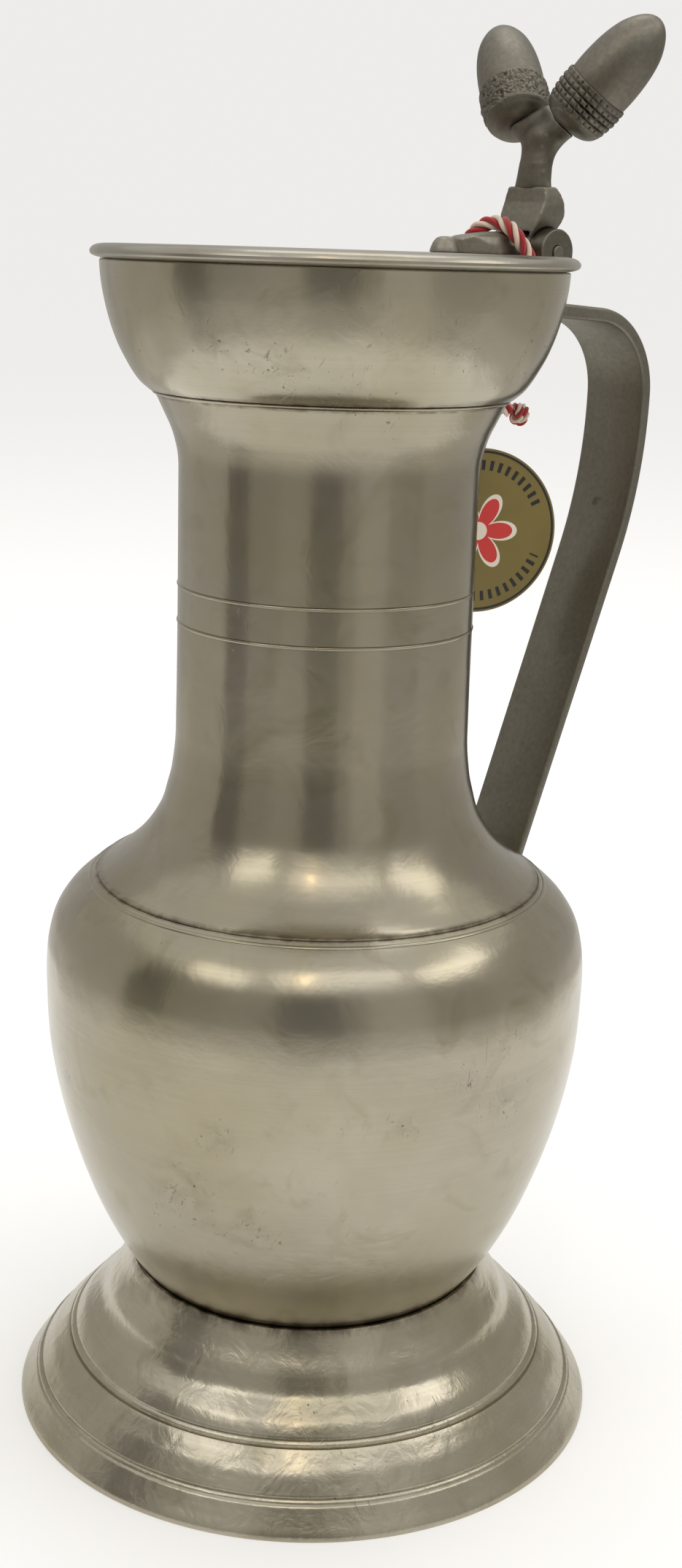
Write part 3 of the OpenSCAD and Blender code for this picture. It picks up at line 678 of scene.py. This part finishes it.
def innerSide(line, wall, margin=0.9):
    low, high = line[0], line[-1]
    inner = [(low[0] - wall / normalAt(line, 0)[0], low[1])]
    for i in range(1, len(line) - 1):
        nr, nz = normalAt(line, i)
        r, z = line[i][0] - wall * nr, line[i][1] - wall * nz
        if low[1] + margin < z < high[1] - margin:
            inner.append((r, z))
    inner.append((high[0] - wall / normalAt(line, len(line) - 1)[0], high[1]))
    return inner


def radiusAt(line, z):
    for (r0, z0), (r1, z1) in zip(line, line[1:]):
        if z0 <= z <= z1:
            return mix(r0, r1, (z - z0) / (z1 - z0))
    return line[-1][0]


def beadLine(line, z, half, high, below, above):
    # a small raised bead with a fine cut under it and over it
    def moved(place, out):
        i = min(range(1, len(line) - 1), key=lambda k: abs(line[k][1] - place))
        nr, nz = normalAt(line, i)
        return radiusAt(line, place) + out * nr, place + out * nz

    under = [(-2.4, 0), (-1.75, 0), (-1.3, -below), (-1.0, -0.3 * below)]
    crown = [(s / 4, high * math.sqrt(1 - (s / 4) ** 2)) for s in range(-3, 4)]
    over = [(1.0, -0.3 * above), (1.3, -above), (1.75, 0), (2.4, 0)]
    at = [moved(z + s * half, out) for s, out in under + crown + over]
    return [p for p in line if p[1] < at[0][1] - 0.15] + at + [p for p in line if p[1] > at[-1][1] + 0.15]


def drawOutline(name, points, side=0.0):
    # one vertex is drawn along the outline by extruding, and stays in edit mode
    deselectAll()
    bpy.ops.mesh.primitive_plane_add(size=mm, location=(0, 0, 0))
    piece = bpy.context.object
    piece.name = name
    bpy.ops.object.mode_set(mode="EDIT")
    bpy.ops.mesh.select_all(action="SELECT")
    bpy.ops.mesh.merge(type="CENTER")
    bpy.ops.transform.translate(value=(points[0][0] * mm, side * mm, points[0][1] * mm))
    for (r0, z0), (r1, z1) in zip(points, points[1:]):
        step = ((r1 - r0) * mm, 0, (z1 - z0) * mm)
        bpy.ops.mesh.extrude_region_move(TRANSFORM_OT_translate={"value": step})
    mergeDoubles()
    return piece


def spinPiece(name, outline, around=192):
    # the closed outline is spun about the jug's axis
    piece = drawOutline(name, outline + outline[:1])
    bpy.ops.mesh.spin(steps=around, angle=math.tau, center=(0, 0, 0), axis=(0, 0, 1))
    mergeDoubles()
    bpy.ops.mesh.normals_make_consistent(inside=False)
    bpy.ops.object.mode_set(mode="OBJECT")
    return piece


# beads: place as a share of the foot's height or of the straight neck, then half width, height,
# cut under and cut over in mm
beads = {
    "foot": [(0.194, 0.42, 0.22, 0.12, 0.16), (0.452, 0.46, 0.22, 0.34, 0.1)],
    "neck": [(0.43, 0.26, 0.2, 0.05, 0.12), (0.57, 0.26, 0.2, 0.05, 0.12)],
}
bellyLip = {"drop": 0.85, "half": 0.25, "high": 0.17}
neckTrim = {"sunk": 0.35, "sunkH": 0.5, "joinH": 0.75, "startH": 1.0, "endDrop": 1.2, "cut": 0.42,
            "cutDrop": 0.95, "beadDrop": 0.75, "beadStart": 0.72, "beadH": 0.64, "beadOut": 0.05,
            "beadHigh": 0.32, "topCut": 0.1}
cupRim = {"in": 0.02, "edge": 0.25}


def makeFoot():
    # a hollow skirt with two turned lines, and the seat and collar that hold the belly
    outer = smoothLine(footPoints())
    inner = innerSide(outer, jug["footWall"])
    for share, half, high, below, above in beads["foot"]:
        outer = beadLine(outer, share * jug["footH"], half, high, below, above)
    seatR = jug["bellySeatR"] - jug["seatW"]
    seatUnder = jug["seatZ"] - jug["seatT"]
    rimR = jug["footR"] - jug["footRimW"]
    under = [p for p in reversed(inner) if jug["footRimT"] < p[1] < seatUnder - 0.2 and p[0] > seatR + 1]
    seat = [(jug["collarBoreR"], jug["footH"]), (jug["collarBoreR"], jug["seatZ"]), (seatR, jug["seatZ"]),
            (seatR, seatUnder), (radiusAt(inner, seatUnder), seatUnder)]
    rim = [(rimR + jug["footRimSlope"], jug["footRimT"]), (rimR, 0)]
    foot = spinPiece("footShell", outer + seat + under + rim)
    smoothShade(foot)
    finishPiece(foot, "jug", pewterFoot, ["foot"])


def makeBelly():
    outer = smoothLine(bellyPoints())
    inner = innerSide(outer, jug["wall"])
    # a thin lip under the seam catches the light
    outer = beadLine(outer, jug["shoulderZ"] - bellyLip["drop"], bellyLip["half"], bellyLip["high"], 0.0, 0.0)
    belly = spinPiece("bellyShell", outer + inner[::-1])
    smoothShade(belly)
    finishPiece(belly, "jug", pewterBelly, ["belly"])


def makeNeck():
    outer = smoothLine(neckPoints())
    inner = innerSide(outer, jug["wall"])
    for share, half, high, below, above in beads["neck"]:
        outer = beadLine(outer, mix(jug["sweepZ"], jug["flareZ"], share), half, high, below, above)
    # a sunk line where it meets the belly
    trim, low, step = neckTrim, jug["shoulderZ"], jug["stepZ"]
    sunk = jug["shoulderR"] - trim["sunk"]
    join = low + trim["joinH"]
    seam = [(sunk, low), (sunk, low + trim["sunkH"]), (radiusAt(outer, join), join)]
    outer = seam + [p for p in outer if low + trim["startH"] < p[1] < step - trim["endDrop"]]
    # a fine bead under the cup catches the light
    beadR = jug["flareR"] + trim["beadOut"]
    outer += [(jug["flareR"] - trim["cut"], step - trim["cutDrop"]), (beadR, step - trim["beadDrop"])]
    for k in range(1, 6):
        t = k / 6
        out = trim["beadHigh"] * math.sin(math.pi * t)
        outer.append((beadR + out, step - trim["beadStart"] + trim["beadH"] * t))
    outer.append((jug["flareR"] - trim["topCut"], step))
    neck = spinPiece("neckShell", outer + inner[::-1])
    smoothShade(neck)
    finishPiece(neck, "jug", pewterNeck, ["neck"])


def makeCup():
    outer = smoothLine(cupPoints())
    inner = innerSide(outer, jug["wall"])
    rim = [(jug["cupR"] - cupRim["in"], jug["rimZ"] - cupRim["edge"]),
           (jug["cupR"] - cupRim["edge"], jug["rimZ"])]
    cup = spinPiece("cupShell", outer[:-1] + rim + inner[::-1])
    smoothShade(cup)
    finishPiece(cup, "jug", pewterCup, ["cup"])


def finishBase():
    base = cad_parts["base_disc"].data
    base.materials.clear()
    base.materials.append(pewterBelly)


makeFoot()
makeBelly()
makeNeck()
makeCup()
finishBase()
print("vessel spun")


# the lid, with one turned line near the edge of its top

lid = {"r": 49.2, "h": 3.0, "t": 1.9, "ringH": 3.0, "ringWall": 1.2, "ringGap": 0.7, "ringEdge": 0.25,
       "lineAt": 0.85, "lineHalf": 0.005, "lineDepth": 0.12, "lineLips": (0.012, 0.01)}


def makeLid():
    low, high = jug["lidZ"], jug["lidZ"] + lid["h"]
    ringR = jug["cupR"] - jug["wall"] - lid["ringGap"]
    inside = ringR - lid["ringWall"]
    top = [(lid["r"] * a, low + lid["h"] * b) for a, b in outlineShares["lidTop"]]
    lineZ = top[2][1]
    line = [(lid["r"] * (lid["lineAt"] - lid["lineHalf"]), lineZ + lid["lineLips"][0]),
            (lid["r"] * lid["lineAt"], lineZ - lid["lineDepth"]),
            (lid["r"] * (lid["lineAt"] + lid["lineHalf"]), lineZ + lid["lineLips"][1])]
    under = [(mix(jug["cupR"], lid["r"], a), low + lid["h"] * b) for a, b in outlineShares["lidUnder"]]
    middle = [(inside, low), (inside - lid["ringWall"], high - lid["t"]), (0, high - lid["t"])]
    plate = spinPiece("lidPlate", top[:2] + line + top[2:] + under + middle)
    smoothShade(plate, 24)
    finishPiece(plate, "lid", pewterLid, ["lid_plate"])

    foot, edge = low - lid["ringH"], lid["ringEdge"]
    ring = spinPiece("lidRing", [(inside, foot + edge), (inside + edge, foot), (ringR - edge, foot),
                                 (ringR, foot + edge), (ringR, low), (inside, low)], 160)
    smoothShade(ring)
    finishPiece(ring, "lid", pewterLid, ["lid_ring"])


makeLid()
print("lid turned")


# the handle: a flat strap, level at the top, bent round and led down to the shoulder

handle = {"reach": 91.7, "w": 17.4, "t": 3.3, "endT": 2.0, "drop": 6.0, "bendR": 19.5, "backR": 99.0,
          "lean": 22.2, "slope": 3.9, "edge": 0.75, "intoCup": 4, "intoBelly": 6, "bite": 0.25}


def strapLines():
    slope, lean = math.radians(handle["slope"]), math.radians(handle["lean"])
    strapZ = jug["rimZ"] - handle["drop"]
    bendX = handle["reach"] - handle["bendR"]
    topEnd = bendX + handle["bendR"] * math.sin(slope)
    bendZ = strapZ - (topEnd - jug["cupR"]) * math.tan(slope) - handle["bendR"] * math.cos(slope)
    backX = handle["reach"] - handle["backR"]
    outer = []
    for k in range(9):
        x = mix(jug["cupR"] - handle["intoCup"], topEnd, k / 9)
        outer.append((x, strapZ - (x - jug["cupR"]) * math.tan(slope)))
    for k in range(29):
        a = mix(math.pi / 2 - slope, 0, k / 28)
        outer.append((bendX + handle["bendR"] * math.cos(a), bendZ + handle["bendR"] * math.sin(a)))
    for k in range(1, 19):
        a = -lean * k / 18
        outer.append((backX + handle["backR"] * math.cos(a), bendZ + handle["backR"] * math.sin(a)))
    lastX, lastZ = outer[-1]
    full = (lastZ - jug["shoulderZ"] + handle["intoBelly"]) / math.cos(lean)
    for k in range(1, 15):
        outer.append((lastX - full * k / 14 * math.sin(lean), lastZ - full * k / 14 * math.cos(lean)))
    # the strap grows thinner towards its lower end
    inner = []
    total = sum(math.dist(a, b) for a, b in zip(outer, outer[1:]))
    gone = 0.0
    for i, (x, z) in enumerate(outer):
        if i:
            gone += math.dist(outer[i], outer[i - 1])
        nx, nz = normalAt(outer, i)
        thick = mix(handle["t"], handle["endT"], gone / total)
        inner.append((x + thick * nx, z + thick * nz))
    return outer, inner


def makeHandle():
    # the strap's side is drawn as one outline, filled, and drawn across its width
    outer, inner = strapLines()
    loop = outer + inner[::-1]
    strap = drawOutline("handleStrap", loop + loop[:1], -handle["w"] / 2)
    bpy.ops.mesh.edge_face_add()
    bpy.ops.mesh.extrude_region_move(TRANSFORM_OT_translate={"value": (0, handle["w"] * mm, 0)})
    bpy.ops.mesh.select_all(action="SELECT")
    bpy.ops.mesh.normals_make_consistent(inside=False)
    bpy.ops.object.mode_set(mode="OBJECT")
    roundEdges(strap, handle["edge"], 3, 60)
    # the ends follow the round walls they are soldered to
    walls = smoothLine(bellyPoints(), 3) + smoothLine(neckPoints()[1:], 3) + smoothLine(cupPoints(), 3)
    core = [(0, jug["seatZ"])] + [(r - handle["bite"], z) for r, z in walls] + [(0, jug["rimZ"])]
    cutAway(strap, spinPiece("handleCutter", core, 128))
    smoothShade(strap)
    finishPiece(strap, "jug", castStrap, ["handle"])


makeHandle()
print("handle drawn")


# cast pieces: a copy of the solid, its edges softened as casting leaves them
# each has its solid, body, finish, voxel in mm and rounds of smoothing
castings = {
    "thumbBlock": ("thumb_block", "lid", castBlock, 0.24, 10),
    "lidTongue": ("lid_tongue", "lid", castTongue, 0.22, 9),
    "hingeBracket": ("hinge_bracket", "jug", castDark, 0.2, 6),
}


def nodeCopy(name, node):
    piece = bpy.data.objects.new(name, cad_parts[node].data.copy())
    bpy.context.scene.collection.objects.link(piece)
    activate(piece)
    bpy.ops.object.mode_set(mode="EDIT")
    mergeDoubles(0.004)
    bpy.ops.object.mode_set(mode="OBJECT")
    return piece


def smoothOver(piece, rounds, group=""):
    soften = piece.modifiers.new("soften", "SMOOTH")
    soften.factor = 0.5
    soften.iterations = rounds
    soften.vertex_group = group
    applyModifiers(piece)


def castSkin(piece, voxel, rounds):
    remesh = piece.modifiers.new("skin", "REMESH")
    remesh.mode = "VOXEL"
    remesh.voxel_size = voxel * mm
    smoothOver(piece, rounds)
    bpy.ops.object.shade_smooth()


def makeCastings():
    for name, (node, body, material, voxel, rounds) in castings.items():
        piece = nodeCopy(name, node)
        castSkin(piece, voxel, rounds)
        finishPiece(piece, body, material, [node])


makeCastings()
print("castings softened")


# the hinge pin: its ends stand a little out of the knuckles and are peened over

pin = {"r": 1.5, "proud": 0.8, "peen": 0.34}


def makePin():
    deselectAll()
    place = (hinge["x"] * mm, 0, hinge["z"] * mm)
    length = (hinge["barrelW"] + pin["proud"]) * mm
    bpy.ops.mesh.primitive_cylinder_add(vertices=48, radius=pin["r"] * mm, depth=length, location=place,
                                        rotation=(math.pi / 2, 0, 0))
    piece = bpy.context.object
    piece.name = "hingePin"
    settle(piece)
    roundEdges(piece, pin["peen"], 4)
    smoothShade(piece)
    finishPiece(piece, "jug", castNut, ["hinge_pin"])


makePin()
print("pin set")


# acorns: two arms lean back and spread from one apex, and each carries a cap and a nut

acorn = {"spread": 35.0, "lean": 23.0, "capR": 7.75, "capH": 10.2, "capStart": 11.4, "capLip": 0.9,
         "lipGap": 0.1, "nutR": 7.25, "nutH": 18.6, "apex": (hinge["x"] - 1.6, 0, hinge["z"] + 17.6)}
capShares = [(0, 0.46), (0.05, 0.63), (0.13, 0.775), (0.24, 0.875), (0.38, 0.94), (0.55, 0.98), (0.75, 1),
             (1, 0.985)]
nutShares = [(0, 0.98), (0.14, 1), (0.3, 0.99), (0.46, 0.95), (0.6, 0.88), (0.73, 0.77), (0.84, 0.61),
             (0.92, 0.44), (0.97, 0.27), (0.992, 0.13), (1, 0)]
beadWork = {"start": 0.3, "rows": 5, "columns": 13, "depth": 0.62, "slant": 0.25}
leafWork = {"start": 0.26, "ledge": 0.29, "leaf": 0.34, "vein": 0.2, "ledgeHigh": 0.16}


def ontoAcorn(piece, side, along):
    place = Matrix.Translation(Vector(acorn["apex"]) * mm)
    lean = Matrix.Rotation(math.radians(acorn["lean"]), 4, "Y")
    spread = Matrix.Rotation(math.radians(-side * acorn["spread"]), 4, "X")
    piece.matrix_world = place @ lean @ spread @ Matrix.Translation((0, 0, along * mm))
    bpy.context.view_layer.update()
    settle(piece)


def ringNoise(angle, share, fine, tall):
    return noise.noise(Vector((math.cos(angle) * fine, math.sin(angle) * fine, share * tall)))


def beadRelief(angle, share):
    # rows of small square beads run to the cap's rim, and its crown is smooth
    work = beadWork
    soft = 0.05 * ringNoise(angle, share, 3, 9)
    if share < work["start"]:
        return soft
    row = (share - work["start"]) / (1 - work["start"]) * work["rows"]
    wear = 0.75 + 0.5 * ringNoise(angle, share, 2, 4)
    ring = 1 - abs(math.sin(math.pi * row)) ** 0.45
    gap = 1 - abs(math.sin(angle * work["columns"] + work["slant"] * row)) ** 0.4
    return soft - work["depth"] * max(ring, gap * 0.85) * wear * min(1.0, row * 3)


def leafRelief(angle, share):
    # a band of worn leaf work runs to the cap's rim, soft and uneven, and its crown is smooth
    work = leafWork
    swirl = Vector((math.cos(angle) * 5.5, math.sin(angle) * 5.5, share * 7))
    bend = noise.noise(swirl * 0.6) * 0.9
    leaf = noise.noise(swirl + Vector((bend, -bend, bend)))
    vein = max(0.0, 1 - abs(noise.noise(swirl * 1.7 + Vector((4, bend, 7)))) * 4.5)
    band = min(1.0, max(0.0, (share - work["start"]) * 8))
    ledge = work["ledgeHigh"] * max(0.0, 1 - abs(share - work["ledge"]) * 12)
    return band * (work["leaf"] * leaf - work["vein"] * vein) + ledge


def capOutline(profile):
    edge, capH = profile[-1][0], acorn["capH"]
    lipR, lipZ = acorn["nutR"] + acorn["lipGap"], acorn["capH"] - acorn["capLip"]
    rim = [(edge - 0.05, capH - 0.15), (edge - 0.3, capH)]
    return [(0, 0)] + profile[:-1] + rim + [(lipR, capH), (lipR, lipZ), (0, lipZ)]


def makeAcorn(side, word, relief, grimeDepth):
    profile = smoothLine([(acorn["capR"] * s, acorn["capH"] * h) for h, s in capShares], 12)
    cap = spinPiece("acornCap" + word, capOutline(profile), 240)
    hollow = cap.data.attributes.new("hollow", "FLOAT", "POINT")
    rimShare = 0.985
    for vertex in cap.data.vertices:
        spot = vertex.co
        r = math.hypot(spot.x, spot.y) / mm
        share = spot.z / mm / acorn["capH"]
        if abs(r - radiusAt(profile, spot.z / mm)) < 0.06 and 0.02 < share < rimShare:
            cut = relief(math.atan2(spot.y, spot.x), share) * min(1.0, (rimShare - share) * 25)
            hollow.data[vertex.index].value = min(1.0, max(0.0, -cut * grimeDepth))
            spot.x *= 1 + cut / r
            spot.y *= 1 + cut / r
    cap.data.update()
    smoothShade(cap, 50)
    ontoAcorn(cap, side, acorn["capStart"])
    finishPiece(cap, "lid", castDark, ["acorn_cap_" + word.lower()])

    height = acorn["nutH"] + acorn["capLip"]
    nutLine = smoothLine([(acorn["nutR"] * s, height * h) for h, s in nutShares], 5)
    nut = spinPiece("acornNut" + word, [(0, 0)] + nutLine, 128)
    smoothShade(nut, 40)
    ontoAcorn(nut, side, acorn["capStart"] + acorn["capH"] - acorn["capLip"])
    finishPiece(nut, "lid", castNut, ["acorn_nut_" + word.lower()])


makeAcorn(1, "Left", leafRelief, 1.9)
makeAcorn(-1, "Right", beadRelief, 2.1)
print("acorns turned")


# the stem: its fork is filled to a soft saddle

fork = {"saddle": (2.5, 4.6, 3.4), "out": 2.6, "up": 6.2, "voxel": 0.26, "rounds": 44, "low": 1.5,
        "reach": 11.2, "wornRounds": 110, "sunk": 0.6}


def makeStem():
    stem = nodeCopy("thumbStem", "thumb_stem")
    apex = Vector(acorn["apex"]) * mm
    deselectAll()
    bpy.ops.mesh.primitive_uv_sphere_add(segments=32, ring_count=16, radius=mm)
    saddle = bpy.context.object
    saddle.scale = fork["saddle"]
    saddle.location = apex + Vector((fork["out"], 0, fork["up"])) * mm
    settle(saddle)
    stem.select_set(True)
    bpy.context.view_layer.objects.active = stem
    bpy.ops.object.join()
    castSkin(stem, fork["voxel"], fork["rounds"])
    # the fork alone is rounder still; the arms keep their length inside the caps
    verts = stem.data.vertices
    group = stem.vertex_groups.new(name="fork")
    lowest, reach = apex.z + fork["low"] * mm, fork["reach"] * mm
    group.add([v.index for v in verts if v.co.z > lowest and (v.co - apex).length < reach], 1.0, "REPLACE")
    smoothOver(stem, fork["wornRounds"], "fork")
    stem.vertex_groups.clear()
    # smoothing draws the foot of the stem in, so it is let down into the block again
    heights = [v.co.z for v in stem.data.vertices]
    low, high = min(heights), max(heights)
    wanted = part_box("thumb_stem")[0][2] - fork["sunk"] * mm
    stem.scale = (1, 1, (high - wanted) / (high - low))
    stem.location = (0, 0, high * (1 - stem.scale.z))
    settle(stem)
    finishPiece(stem, "lid", castDark, ["thumb_stem"])


makeStem()
print("stem cast")


# the tag: a round card with a hole; hang is where the hole's middle hangs

tag = {"r": 19.0, "t": 1.0, "edge": 0.18, "holeR": 3.0, "holeU": -5.5, "holeV": 14.3, "turn": 26.1,
       "hang": (52.6, 14.4, 205.1)}
# the print's rings, as shares of the tag's radius
tagPrint = {"rimLine": (0.945, 0.975), "tickRing": (0.74, 0.86), "ticks": 46.0, "sideGap": 0.93,
            "lobes": 3.0, "petalReach": 0.3, "petalFrom": 0.14, "petalEdge": 0.06, "heart": 0.11}


def tagFinish():
    material, tree, shader = newMaterial("tagCard")
    u, v, _ = splitAxes(tree, uvPlace(tree))
    far = calc(tree, "SQRT", calc(tree, "ADD", times(tree, u, u), times(tree, v, v)))
    angle = calc(tree, "ARCTAN2", v, u)
    place = objectPlace(tree)
    cloud = cloudNoise(tree, place, 70, 3, 0.6)
    colour = blendColour(tree, cloud, (0.23, 0.175, 0.047), (0.16, 0.122, 0.03))

    def between(value, low, high):
        return times(tree, calc(tree, "GREATER_THAN", value, low), calc(tree, "LESS_THAN", value, high))

    # a ring of short ticks, with a gap at the left and at the right
    wave = calc(tree, "SINE", times(tree, angle, tagPrint["ticks"]))
    aside = calc(tree, "ABSOLUTE", calc(tree, "COSINE", angle))
    outsideGap = calc(tree, "LESS_THAN", aside, tagPrint["sideGap"])
    ticks = times(tree, calc(tree, "GREATER_THAN", wave, 0.2), outsideGap)
    ticks = times(tree, ticks, between(far, *tagPrint["tickRing"]))
    ink = calc(tree, "MAXIMUM", between(far, *tagPrint["rimLine"]), ticks)
    # a plain six-petalled flower in the middle
    lobes = calc(tree, "ABSOLUTE", calc(tree, "COSINE", times(tree, angle, tagPrint["lobes"])))
    petal = calc(tree, "MULTIPLY_ADD", lobes, tagPrint["petalReach"], tagPrint["petalFrom"])
    petalEdge = calc(tree, "ADD", petal, tagPrint["petalEdge"])
    cream = (0.8, 0.72, 0.6)
    colour = blendColour(tree, calc(tree, "LESS_THAN", far, petalEdge), colour, cream)
    colour = blendColour(tree, calc(tree, "LESS_THAN", far, petal), colour, (0.62, 0.04, 0.035))
    colour = blendColour(tree, calc(tree, "LESS_THAN", far, tagPrint["heart"]), colour, cream)
    colour = blendColour(tree, ink, colour, (0.025, 0.022, 0.02))
    putIn(tree, shader.inputs["Base Color"], colour)
    setInputs(shader, {"Metallic": 0.25})
    putIn(tree, shader.inputs["Roughness"], calc(tree, "MULTIPLY_ADD", cloud, 0.2, 0.32))
    normal = raised(tree, cloudNoise(tree, place, 900, 2, 0.5), 0.12, 0.05 * mm)
    tree.links.new(normal, shader.inputs["Normal"])
    return material


def makeTag():
    deselectAll()
    bpy.ops.mesh.primitive_cylinder_add(vertices=128, radius=tag["r"] * mm, depth=tag["t"] * mm,
                                        location=(-tag["holeU"] * mm, -tag["holeV"] * mm, 0))
    disc = bpy.context.object
    disc.name = "tagDisc"
    settle(disc)
    bpy.ops.mesh.primitive_cylinder_add(vertices=64, radius=tag["holeR"] * mm, depth=4 * tag["t"] * mm)
    cutAway(disc, bpy.context.object)
    roundEdges(disc, tag["edge"], 2)
    # the print is laid on from the front, 1 at the tag's rim
    mesh = disc.data
    for layer in list(mesh.uv_layers):
        mesh.uv_layers.remove(layer)
    layer = mesh.uv_layers.new(name="UVMap")
    for loop in mesh.loops:
        spot = mesh.vertices[loop.vertex_index].co / mm
        layer.data[loop.index].uv = ((spot.x + tag["holeU"]) / tag["r"], (spot.y + tag["holeV"]) / tag["r"])
    smoothShade(disc, 30)
    upright = Matrix.Rotation(-math.radians(tag["turn"]), 4, "Z") @ Matrix.Rotation(math.pi / 2, 4, "X")
    disc.matrix_world = Matrix.Translation(Vector(tag["hang"]) * mm) @ upright
    bpy.context.view_layer.update()
    settle(disc)
    finishPiece(disc, "jug", tagFinish(), ["tag_disc"])


makeTag()
print("tag punched")


# floor, screens and lights, in metres; bearings are in degrees from the camera's side

stage = {"floor": 60, "reach": 0.66, "height": 0.62, "inner": 0.34, "stripZ": 0.003, "stripTone": (0.42, 0.5)}

# plain screens stand round the jug, with strips of table before them, and show only in its reflections:
# bearing from and to, and brightness
screens = [(-180, -134, 0.5), (-134, -80, 0.56), (-80, -60, 0.22), (-60, -36, 0.4), (-36, -13, 0.46),
           (-13, 11, 0.22), (11, 22, 0.42), (22, 46, 0.6), (46, 76, 0.44), (76, 128, 0.5), (128, 180, 0.5)]

# soft lights: bearing, distance, height, size, watts and colour
lamps = {
    "leftSoft": (-50, 1.2, 1.3, (0.7, 0.5), 1.9, (1.0, 0.97, 0.92)),
    "rightSoft": (80, 1.2, 1.2, (0.9, 0.6), 3.2, (1.0, 0.97, 0.93)),
    "frontSoft": (14, 0.95, 1.55, (1.4, 0.48), 2.5, (1.0, 0.98, 0.95)),
    "topSoft": (170, 0.5, 1.6, (1.0, 0.7), 4, (1.0, 0.99, 0.97)),
    "warmLamp": (-5, 1.0, 1.5, (0.05, 0.05), 0.5, (1.0, 0.74, 0.4)),
}


def facing(bearing):
    return math.radians(-90 - view["turn"] + bearing)


def roundPlace(bearing, distance, height):
    return math.cos(facing(bearing)) * distance, math.sin(facing(bearing)) * distance, height


def makeFloor():
    deselectAll()
    bpy.ops.mesh.primitive_plane_add(size=stage["floor"], location=(0, 0, 0))
    floor = bpy.context.object
    floor.name = "floor"
    material, _, shader = newMaterial("paleFloor")
    setInputs(shader, {"Base Color": (1, 1, 1, 1), "Roughness": 0.9, "Specular IOR Level": 0.0})
    floor.data.materials.append(material)


def addScreen(name, place, turn, size, tone):
    deselectAll()
    bpy.ops.mesh.primitive_plane_add(size=1, location=place, rotation=turn)
    piece = bpy.context.object
    piece.name = name
    piece.scale = (*size, 1)
    material, tree, shader = newMaterial(name)
    tree.nodes.remove(shader)
    glow = tree.nodes.new("ShaderNodeEmission")
    setInputs(glow, {"Color": (1.0, 0.97, 0.91, 1), "Strength": tone})
    tree.links.new(glow.outputs["Emission"], tree.nodes["Material Output"].inputs["Surface"])
    piece.data.materials.append(material)
    piece.visible_camera = False
    piece.visible_shadow = False
    piece.visible_diffuse = False
    return piece


def makeScreens():
    reach, inner, height = stage["reach"], stage["inner"], stage["height"]
    least, share = stage["stripTone"]
    for i, (start, end, tone) in enumerate(screens):
        bearing = (start + end) / 2
        turn = facing(bearing) + math.pi / 2
        wide = 2 * reach * math.tan(math.radians((end - start) / 2))
        place = roundPlace(bearing, reach, height / 2)
        addScreen("screen" + str(i), place, (math.pi / 2, 0, turn), (wide, height), tone)
        # the strip before it takes on some of its tone, and narrows towards the jug
        place = roundPlace(bearing, (inner + reach) / 2, stage["stripZ"])
        size = (wide, reach - inner)
        strip = addScreen("tableStrip" + str(i), place, (0, 0, turn), size, least + share * tone)
        for vertex in strip.data.vertices:
            if vertex.co.y > 0:
                vertex.co.x *= inner / reach


def makeLights():
    world = bpy.data.worlds.new("studio")
    bpy.context.scene.world = world
    world.use_nodes = True
    setInputs(world.node_tree.nodes["Background"], {"Color": (1.0, 0.99, 0.97, 1), "Strength": 0.85})
    aim = Vector((0, 0, 0.15))
    for name, (bearing, distance, height, size, watts, colour) in lamps.items():
        data = bpy.data.lights.new(name, "AREA")
        data.shape = "RECTANGLE"
        data.size, data.size_y = size
        data.energy = watts
        data.color = colour
        light = bpy.data.objects.new(name, data)
        bpy.context.scene.collection.objects.link(light)
        light.location = roundPlace(bearing, distance, height)
        light.rotation_euler = (aim - light.location).to_track_quat("-Z", "Y").to_euler()


makeFloor()
makeScreens()
makeLights()
print("stage set")

deselectAll()
